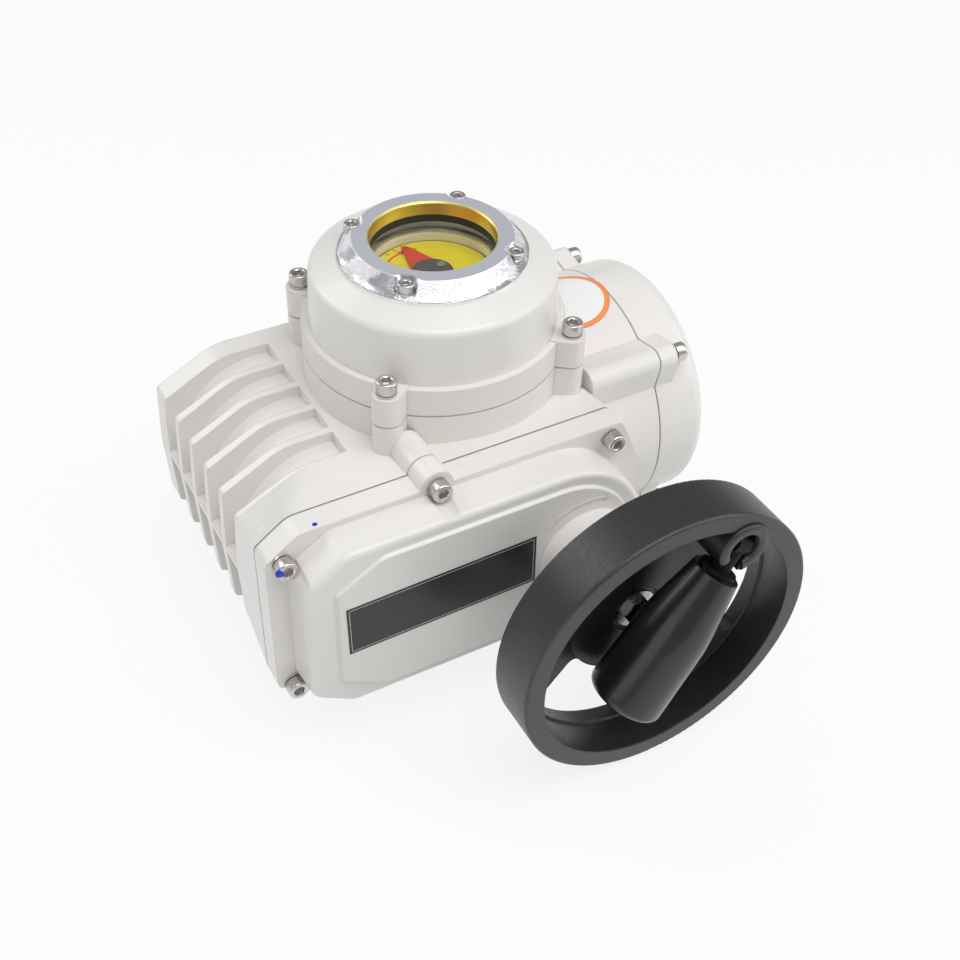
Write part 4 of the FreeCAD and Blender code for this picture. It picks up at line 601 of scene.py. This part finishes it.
def spring_washer_mesh(inner, outer, height):
    """A split washer: a square section turned nearly once round, rising a little."""
    thickness, rise, steps = height * 0.62, height * 0.3, 40
    bm = bmesh.new()
    corners = [bm.verts.new((x, 0, z)) for x, z in ((inner, 0), (outer, 0), (outer, thickness),
                                                    (inner, thickness))]
    face = bm.faces.new(corners)
    bmesh.ops.spin(bm, geom=[face] + list(face.edges) + corners, cent=(0, 0, 0), axis=(0, 0, 1),
                   dvec=(0, 0, rise / steps), angle=math.radians(348), steps=steps,
                   use_merge=False)
    bmesh.ops.holes_fill(bm, edges=bm.edges)
    bmesh.ops.recalc_face_normals(bm, faces=bm.faces)
    return mesh_from("washer_template", bm)


def fit_copies(node, ending, template, places, metal):
    """Puts copies of a template in the places of a node's solids."""
    item = piece(f"{node}_{ending}", repeat(bmesh.new(), template, places), metal,
                 "housing")
    smooth(item, 40)
    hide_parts(node)


# Print and relief

def digits(bm, text, size, place):
    """Adds plain digits, flat in their own plane, to a mesh."""
    curve = bpy.data.curves.new("digits", "FONT")
    curve.body, curve.size, curve.extrude = text, size, PRINT_HEIGHT / 2
    curve.align_x, curve.align_y = "CENTER", "CENTER"
    holder = bpy.data.objects.new("digits", curve)
    mesh = bpy.data.meshes.new_from_object(holder)
    repeat(bm, mesh, [place])
    bpy.data.objects.remove(holder)
    bpy.data.curves.remove(curve)
    bpy.data.meshes.remove(mesh)


def dial_scale(ink):
    """Ten marks over the quarter turn, the first and last one long, with 0 and 90."""
    level = DIAL_TOP + PRINT_HEIGHT / 2
    bm = bmesh.new()
    for step in range(10):
        length, width = LONG_MARK if step % 9 == 0 else SHORT_MARK
        place = (turned(POINTER_ANGLE + 10 * step)
                 @ Matrix.Translation((SCALE_RADIUS - length / 2, 0, level))
                 @ Matrix.Diagonal((length, width, PRINT_HEIGHT, 1)))
        bmesh.ops.create_cube(bm, size=1, matrix=place)
    for text, angle in (("0", -10), ("90", 90)):
        digits(bm, text, DIGIT_SIZE, turned(POINTER_ANGLE + angle)
               @ Matrix.Translation((DIGIT_RADIUS, 0, level)) @ turned(-90))
    piece("dial_scale", bm, ink, "housing")


def curved_arrow(radius, start, end, half, thickness, both=False):
    """A raised arc about Z with an arrow head at its end, or at both ends."""
    bm = bmesh.new()
    turn = math.radians(end - start)
    head_half, head_length = half * 3.2, half * 7
    first = turned(start)
    sides = [bm.verts.new(first @ Vector((radius + side * half, 0, 0))) for side in (-1, 1)]
    edge = bm.edges.new(sides)
    bmesh.ops.spin(bm, geom=[edge] + sides, cent=(0, 0, 0), axis=(0, 0, 1), angle=turn, steps=24)
    sign = math.copysign(1, turn)
    for at, way in [(end, sign)] + ([(start, -sign)] if both else []):
        place = turned(at)
        corners = [(radius - head_half, 0, 0), (radius, way * head_length, 0),
                   (radius + head_half, 0, 0)]
        bm.faces.new([bm.verts.new(place @ Vector(corner)) for corner in corners])
    thicken(bm, thickness)
    return bm


def plate_line(sizes):
    """The thin raised line along the edge of the plate, lying flat at the plate's middle."""
    bm = bmesh.new()
    bmesh.ops.create_grid(bm, x_segments=1, y_segments=1, size=0.5, matrix=Matrix.Diagonal(
        (sizes.label_length - 2 * LINE_MARGIN, sizes.label_height - 2 * LINE_MARGIN, 1, 1)))
    inside = bm.faces[:]
    bmesh.ops.inset_region(bm, faces=inside, thickness=LINE_WIDTH, use_boundary=True)
    bmesh.ops.delete(bm, geom=inside, context="FACES_ONLY")
    thicken(bm, LINE_HEIGHT)
    return bm


def bent_disc(radius):
    """The sticker's disc, bent round the wiring housing, its coloured ring as second material."""
    bm = bmesh.new()
    bmesh.ops.create_circle(bm, cap_ends=True, segments=96, radius=radius)
    inside = bm.faces[:]
    # Steps inwards as shares of the radius, 1 for the coloured ring and 0 for white
    for share, index in ((0.06, 1), (0.06, 1), (0.28, 0), (0.3, 0)):
        made = bmesh.ops.inset_region(bm, faces=inside, use_boundary=True,
                                      thickness=share * radius)["faces"]
        for face in made:
            face.material_index = index
    bmesh.ops.poke(bm, faces=inside)
    reach = DRUM_RADIUS + STICKER_LIFT
    for vert in bm.verts:
        angle = vert.co.y / reach
        vert.co = Vector((STICKER_X + vert.co.x, reach * math.sin(angle),
                          AXIS_HEIGHT + reach * math.cos(angle)))
    bmesh.ops.recalc_face_normals(bm, faces=bm.faces)
    return bm


def eye_lip(coat):
    """A round lip about the eye of the folding handle, open towards the shaft."""
    middle, half = (LIP_INNER + LIP_OUTER) / 2, (LIP_OUTER - LIP_INNER) / 2
    sunk = -0.0002
    profile = [(LIP_OUTER, sunk)]
    for step in range(9):
        angle = math.pi * step / 8
        profile.append((middle + half * math.cos(angle), LIP_HEIGHT * math.sin(angle)))
    profile.append((LIP_INNER, sunk))
    bm = lathe(profile, 72, 360 - 2 * LIP_GAP)
    angle = math.radians(HANDLE_ANGLE)
    centre = Vector((SHAFT_X + HANDLE_REACH * math.cos(angle), RIM_FRONT,
                     AXIS_HEIGHT + HANDLE_REACH * math.sin(angle)))
    moved(bm, Matrix.Translation(centre) @ turned(90, "X") @ turned(HANDLE_ANGLE + 180 + LIP_GAP))
    smooth(piece("handle_eye_lip", bm, coat, "handwheel_shaft"))


# Stage

def floor_plane():
    """A pale floor that glows a little, for the camera and in reflections only."""
    bm = bmesh.new()
    bmesh.ops.create_grid(bm, x_segments=1, y_segments=1, size=6)
    floor = linked("floor", mesh_from("floor", bm))
    finish = Finish("floor_white", (0.86, 0.86, 0.86), 0.9)
    white = finish.node("Emission")
    path = finish.node("LightPath")
    seen = finish.maths("MAXIMUM", path.outputs["Is Camera Ray"], path.outputs["Is Glossy Ray"])
    seen = finish.maths("MAXIMUM", seen, path.outputs["Is Transmission Ray"])
    finish.blend(finish.maths("MULTIPLY", seen, FLOOR_GLOW), finish.shader.outputs["BSDF"],
                 white.outputs["Emission"])
    floor.data.materials.append(finish.material)


def world_light(scene):
    """Soft bluish light from all sides, and plain white where the camera looks past the floor."""
    world = bpy.data.worlds.new("studio")
    scene.world = world
    world.use_nodes = True
    nodes, links = world.node_tree.nodes, world.node_tree.links
    soft = nodes["Background"]
    soft.inputs["Color"].default_value = (0.95, 0.97, 1.0, 1)
    soft.inputs["Strength"].default_value = SKY_STRENGTH
    white = nodes.new("ShaderNodeBackground")
    white.inputs["Color"].default_value = (1, 1, 1, 1)
    path = nodes.new("ShaderNodeLightPath")
    mix = nodes.new("ShaderNodeMixShader")
    links.new(path.outputs["Is Camera Ray"], mix.inputs["Fac"])
    links.new(soft.outputs["Background"], mix.inputs[1])
    links.new(white.outputs["Background"], mix.inputs[2])
    links.new(mix.outputs["Shader"], nodes["World Output"].inputs["Surface"])


def softbox(name, place, size, power):
    """A square area light aimed at the object."""
    light = bpy.data.lights.new(name, "AREA")
    light.shape = "SQUARE"
    light.size = size
    light.energy = power
    item = linked(name, light)
    item.location = place
    aim = Vector(LIGHT_TARGET) - Vector(place)
    item.rotation_euler = aim.to_track_quat("-Z", "Y").to_euler()


def photo_camera(scene):
    """The camera that took the photograph: place, angle, lens and shift."""
    data = bpy.data.cameras.new("camera")
    data.lens = LENS
    data.sensor_width = SENSOR_WIDTH
    data.shift_x, data.shift_y = LENS_SHIFT
    camera = linked("camera", data)
    azimuth, elevation, roll = (math.radians(angle) for angle in
                                (CAMERA_AZIMUTH, CAMERA_ELEVATION, CAMERA_ROLL))
    right = Vector((math.cos(azimuth), -math.sin(azimuth), 0))
    back = Vector((-math.sin(azimuth) * math.cos(elevation),
                   -math.cos(azimuth) * math.cos(elevation), math.sin(elevation)))
    up = back.cross(right)
    across = right * math.cos(roll) + up * math.sin(roll)
    over = up * math.cos(roll) - right * math.sin(roll)
    turn = Matrix((across, over, back)).transposed().to_4x4()
    camera.matrix_world = Matrix.Translation(CAMERA_PLACE) @ turn
    scene.camera = camera


# Operators

class ACTUATOR_OT_castings(bpy.types.Operator):
    """Painted castings, their seals, and the long boss round the handwheel shaft"""
    bl_idname = "actuator.castings"
    bl_label = "Castings"

    def execute(self, context):
        sizes = context.scene.actuator_sizes
        colour = tuple(context.scene.actuator_colours.casting)
        paint = enamel("casting_enamel", colour, sizes.peel_depth, sizes.edge_softness)
        dress(CASTING_NODES, paint)
        dress(["turret_gasket", "end_cap_gasket"], plain_rubber("seam_grey", (0.25, 0.235, 0.22)))
        dress(["front_cover_gasket"], plain_rubber("seam_brown", (0.12, 0.11, 0.1)))
        dress(["window_gasket", "output_seal", "worm_shaft_seal"], plain_rubber("black_rubber"))
        dress(["window_seal"], plain_rubber("pale_rubber", (0.40, 0.36, 0.29)))
        cover = slim_boss_cover(paint)
        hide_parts("front_cover")
        shaft_boss(paint)
        # A thin lens of paint over the hole tip, whose edge isn't softened
        plain_edge = enamel("touch_up_enamel", colour, sizes.peel_depth, 0)
        dab("flank_touch_up", Matrix.Translation(HOLE_TIP) @ direction(FLANK_NORMAL),
            (0.0026, 0.0026, 0.0003), plain_edge, 32, 12)
        return {"FINISHED"}


class ACTUATOR_OT_fasteners(bpy.types.Operator):
    """Socket screws at every screw of the castings and of the window"""
    bl_idname = "actuator.fasteners"
    bl_label = "Fasteners"

    def execute(self, context):
        metal = steel("stainless_steel", (0.69, 0.665, 0.65), 0.32)
        dress(["inner_screws", "handwheel_washer", "handle_pivot_pin", "dial_pillars"], metal)
        groups = [("turret_screws", LARGE_HEAD, (0, 0, 1)),
                  ("front_cover_screws", LARGE_HEAD, (0, -1, 0)),
                  ("end_cap_screws", LARGE_HEAD, (1, 0, 0)),
                  ("bezel_screws", WINDOW_HEAD, (0, 0, 1))]
        for node, (head, height, socket), axis in groups:
            template = screw_mesh(head, height, socket)
            places = []
            along = Vector(axis)
            for index, (low, high) in enumerate(solid_boxes(node)):
                centre = (low + high) / 2
                top = max(low.dot(along), high.dot(along))
                base = centre + along * (top - height - centre.dot(along))
                places.append(Matrix.Translation(base) @ direction(axis, 0.7 * index + 0.3))
            fit_copies(node, "heads", template, places, metal)
        return {"FINISHED"}


class ACTUATOR_OT_washers(bpy.types.Operator):
    """Split spring washers under the screws"""
    bl_idname = "actuator.washers"
    bl_label = "Spring washers"

    def execute(self, context):
        metal = bpy.data.materials["stainless_steel"]
        groups = [("spring_washers", LARGE_WASHER), ("bezel_washers", WINDOW_WASHER)]
        for node, washer in groups:
            template = spring_washer_mesh(*washer)
            places = []
            for index, (low, high) in enumerate(solid_boxes(node)):
                size = high - low
                thin = min(range(3), key=lambda i: size[i])
                axis = Vector([0, 0, 0])
                axis[thin] = -1 if thin == 1 else 1
                centre = (low + high) / 2
                base = centre - axis * (size[thin] / 2)
                places.append(Matrix.Translation(base) @ direction(axis, 1.9 * index))
            fit_copies(node, "split", template, places, metal)
        return {"FINISHED"}


class ACTUATOR_OT_window(bpy.types.Operator):
    """Bezel, glass, dial, pointer and the marks on the dial"""
    bl_idname = "actuator.window"
    bl_label = "Window"

    def execute(self, context):
        colours = context.scene.actuator_colours
        smoothed("bezel_ring", bezel_metal("bezel_metal", BEZEL_INNER), "housing",
                 14)
        dress(["sight_glass"], window_glass("window_glass"))
        dress(["dial_plate"], printed("dial_yellow", tuple(colours.dial)))
        red = printed("pointer_red", tuple(colours.pointer))
        dress(["pointer"], red)
        dress(["pointer_hub"], moulded_plastic("hub_grey", (0.06, 0.062, 0.066), 0.35))
        dress(["pointer_screws"], steel("pointer_screw_steel", (0.6, 0.6, 0.6), 0.3))
        dial_scale(printed("dial_ink", (0.02, 0.02, 0.02)))
        bm = curved_arrow(DIAL_ARROW_RADIUS, POINTER_ANGLE + 10, POINTER_ANGLE + 40,
                          ARROW_HALF_WIDTH, PRINT_HEIGHT, both=True)
        bmesh.ops.translate(bm, vec=(0, 0, DIAL_TOP), verts=bm.verts)
        piece("dial_arrow", bm, red, "housing")
        return {"FINISHED"}


class ACTUATOR_OT_label(bpy.types.Operator):
    """Bare plate on the front cover and the cast arrow by the shaft boss"""
    bl_idname = "actuator.label"
    bl_label = "Plate and arrow"

    def execute(self, context):
        sizes = context.scene.actuator_sizes
        foil = printed("label_black", (0.014, 0.014, 0.016), 0.3)
        silver = printed("label_line", (0.60, 0.60, 0.60), 0.3)
        place = on_cover(LABEL_X, LABEL_Z, LABEL_TILT)
        bm = bmesh.new()
        bmesh.ops.create_cube(bm, size=1, matrix=place @ Matrix.Diagonal(
            (sizes.label_length, sizes.label_height, LABEL_THICKNESS, 1)))
        piece("label_plate", bm, foil, "housing")
        bm = plate_line(sizes)
        moved(bm, place @ Matrix.Translation((0, 0, LABEL_THICKNESS / 2)))
        piece("label_line", bm, silver, "housing")
        bm = curved_arrow(CAST_ARROW_RADIUS, CAST_ARROW_START, CAST_ARROW_END,
                          ARROW_HALF_WIDTH, CAST_ARROW_HEIGHT)
        moved(bm, on_cover(SHAFT_X, AXIS_HEIGHT))
        piece("cast_arrow", bm, bpy.data.materials["casting_enamel"], "housing")
        return {"FINISHED"}


class ACTUATOR_OT_sticker(bpy.types.Operator):
    """Round sticker on the wiring housing, white with a coloured ring"""
    bl_idname = "actuator.sticker"
    bl_label = "Sticker"

    def execute(self, context):
        colours, sizes = context.scene.actuator_colours, context.scene.actuator_sizes
        ring = printed("sticker_ring", tuple(colours.sticker), 0.4)
        white = printed("sticker_white", (0.86, 0.86, 0.85), 0.4)
        bm = bent_disc(sizes.sticker_radius)
        item = piece("round_sticker", bm, white, "housing")
        item.data.materials.append(ring)
        solid = item.modifiers.new("Thickness", "SOLIDIFY")
        solid.thickness = STICKER_THICKNESS
        solid.offset = 1
        smooth(item)
        return {"FINISHED"}


class ACTUATOR_OT_handwheel(bpy.types.Operator):
    """Handwheel, folding handle and the screw on the shaft"""
    bl_idname = "actuator.handwheel"
    bl_label = "Handwheel"

    def execute(self, context):
        coat = satin_black("wheel_black", tuple(context.scene.actuator_colours.wheel))
        dress(["handwheel"], coat)
        smoothed("grip", gloss_black("grip_black"), "turning_grip")
        # The neck is black plastic; its extra dark colour and weak reflection are also painted
        # shade inside the bore of the eye
        dress(["handle_neck"],
              moulded_plastic("handle_black", (0.006, 0.006, 0.007), 0.5, reflection=0.15))
        dress(["handwheel_screw"], steel("wheel_screw_steel", (0.3, 0.3, 0.31), 0.2))
        eye_lip(coat)
        return {"FINISHED"}


class ACTUATOR_OT_paint_marks(bpy.types.Operator):
    """Two dabs of marking paint, on a cover screw and beside it"""
    bl_idname = "actuator.paint_marks"
    bl_label = "Paint marks"

    def execute(self, context):
        blue = printed("marking_blue", (0.015, 0.03, 0.55), 0.4)
        # The upper left screw of the front cover
        low, high = min(solid_boxes("front_cover_screws"), key=lambda box: box[0].x - box[1].z)
        screw = (low + high) / 2
        on_screw = Matrix.Translation((screw.x - 0.0039, low.y + 0.0006, screw.z + 0.0011))
        on_edge = Matrix.Translation((-0.10324, -0.08459, 0.1332))
        dab("screw_paint", on_screw, (0.0020, 0.0011, 0.0024), blue)
        dab("cover_paint", on_edge, (0.0013, 0.0012, 0.0001), blue)
        return {"FINISHED"}


class ACTUATOR_OT_inner(bpy.types.Operator):
    """Drive, bearings, switches and wiring inside the castings"""
    bl_idname = "actuator.inner"
    bl_label = "Inner pieces"

    def execute(self, context):
        dress(["output_shaft", "worm_shaft", "worm_bearing", "motor_pinion", "idler_stud",
               "idler_clip", "worm_gear", "idler_gear", "bearing_plate", "open_switch_lever",
               "close_switch_lever", "switch_bracket"],
              steel("machined_steel", (0.52, 0.52, 0.51), 0.3))
        dress(["worm_wheel", "output_bushing", "worm_bushing", "board_posts"],
              steel("bronze", (0.62, 0.42, 0.16), 0.32))
        dress(["open_cam", "close_cam", "feedback_gear", "sensor_pinion"],
              moulded_plastic("ivory_plastic", (0.72, 0.69, 0.58)))
        dress(["limit_switches", "position_sensor", "relay", "conduit_plugs"],
              moulded_plastic("black_plastic", (0.02, 0.02, 0.022)))
        dress(["gear_motor", "capacitor"],
              moulded_plastic("motor_black", (0.03, 0.032, 0.036), 0.3))
        dress(["circuit_board"], moulded_plastic("board_green", (0.012, 0.11, 0.035), 0.3, 0.5))
        dress(["terminal_strip"], moulded_plastic("terminal_green", (0.03, 0.28, 0.07)))
        return {"FINISHED"}


class ACTUATOR_OT_stage(bpy.types.Operator):
    """Pale floor, soft studio light and the camera"""
    bl_idname = "actuator.stage"
    bl_label = "Stage"

    def execute(self, context):
        floor_plane()
        world_light(context.scene)
        for name, place, size, power in LIGHTS:
            softbox(name, place, size, power)
        context.scene.view_settings.view_transform = "Standard"
        photo_camera(context.scene)
        return {"FINISHED"}


class ACTUATOR_PT_panel(bpy.types.Panel):
    """Colours, sizes and a button for every group of pieces"""
    bl_idname = "ACTUATOR_PT_panel"
    bl_label = "Valve Actuator"
    bl_space_type = "VIEW_3D"
    bl_region_type = "UI"
    bl_category = "Actuator"

    def draw(self, context):
        for group in (context.scene.actuator_colours, context.scene.actuator_sizes):
            for name in group.__annotations__:
                self.layout.prop(group, name)
        for operator in OPERATORS:
            self.layout.operator(operator.bl_idname)


OPERATORS = (ACTUATOR_OT_castings, ACTUATOR_OT_fasteners, ACTUATOR_OT_washers,
             ACTUATOR_OT_window, ACTUATOR_OT_label, ACTUATOR_OT_sticker,
             ACTUATOR_OT_handwheel, ACTUATOR_OT_paint_marks, ACTUATOR_OT_inner,
             ACTUATOR_OT_stage)
CLASSES = (ActuatorColours, ActuatorSizes, *OPERATORS, ACTUATOR_PT_panel)


def register():
    """Makes the classes and the settings known to Blender."""
    for item in CLASSES:
        bpy.utils.register_class(item)
    bpy.types.Scene.actuator_colours = bpy.props.PointerProperty(type=ActuatorColours)
    bpy.types.Scene.actuator_sizes = bpy.props.PointerProperty(type=ActuatorSizes)


def unregister():
    """Takes the classes and the settings away again."""
    del bpy.types.Scene.actuator_sizes
    del bpy.types.Scene.actuator_colours
    for item in reversed(CLASSES):
        bpy.utils.unregister_class(item)


def main():
    """Makes every group of pieces and the stage."""
    register()
    for operator in OPERATORS:
        group, name = operator.bl_idname.split(".")
        getattr(getattr(bpy.ops, group), name)()


if __name__ == "__main__":
    main()
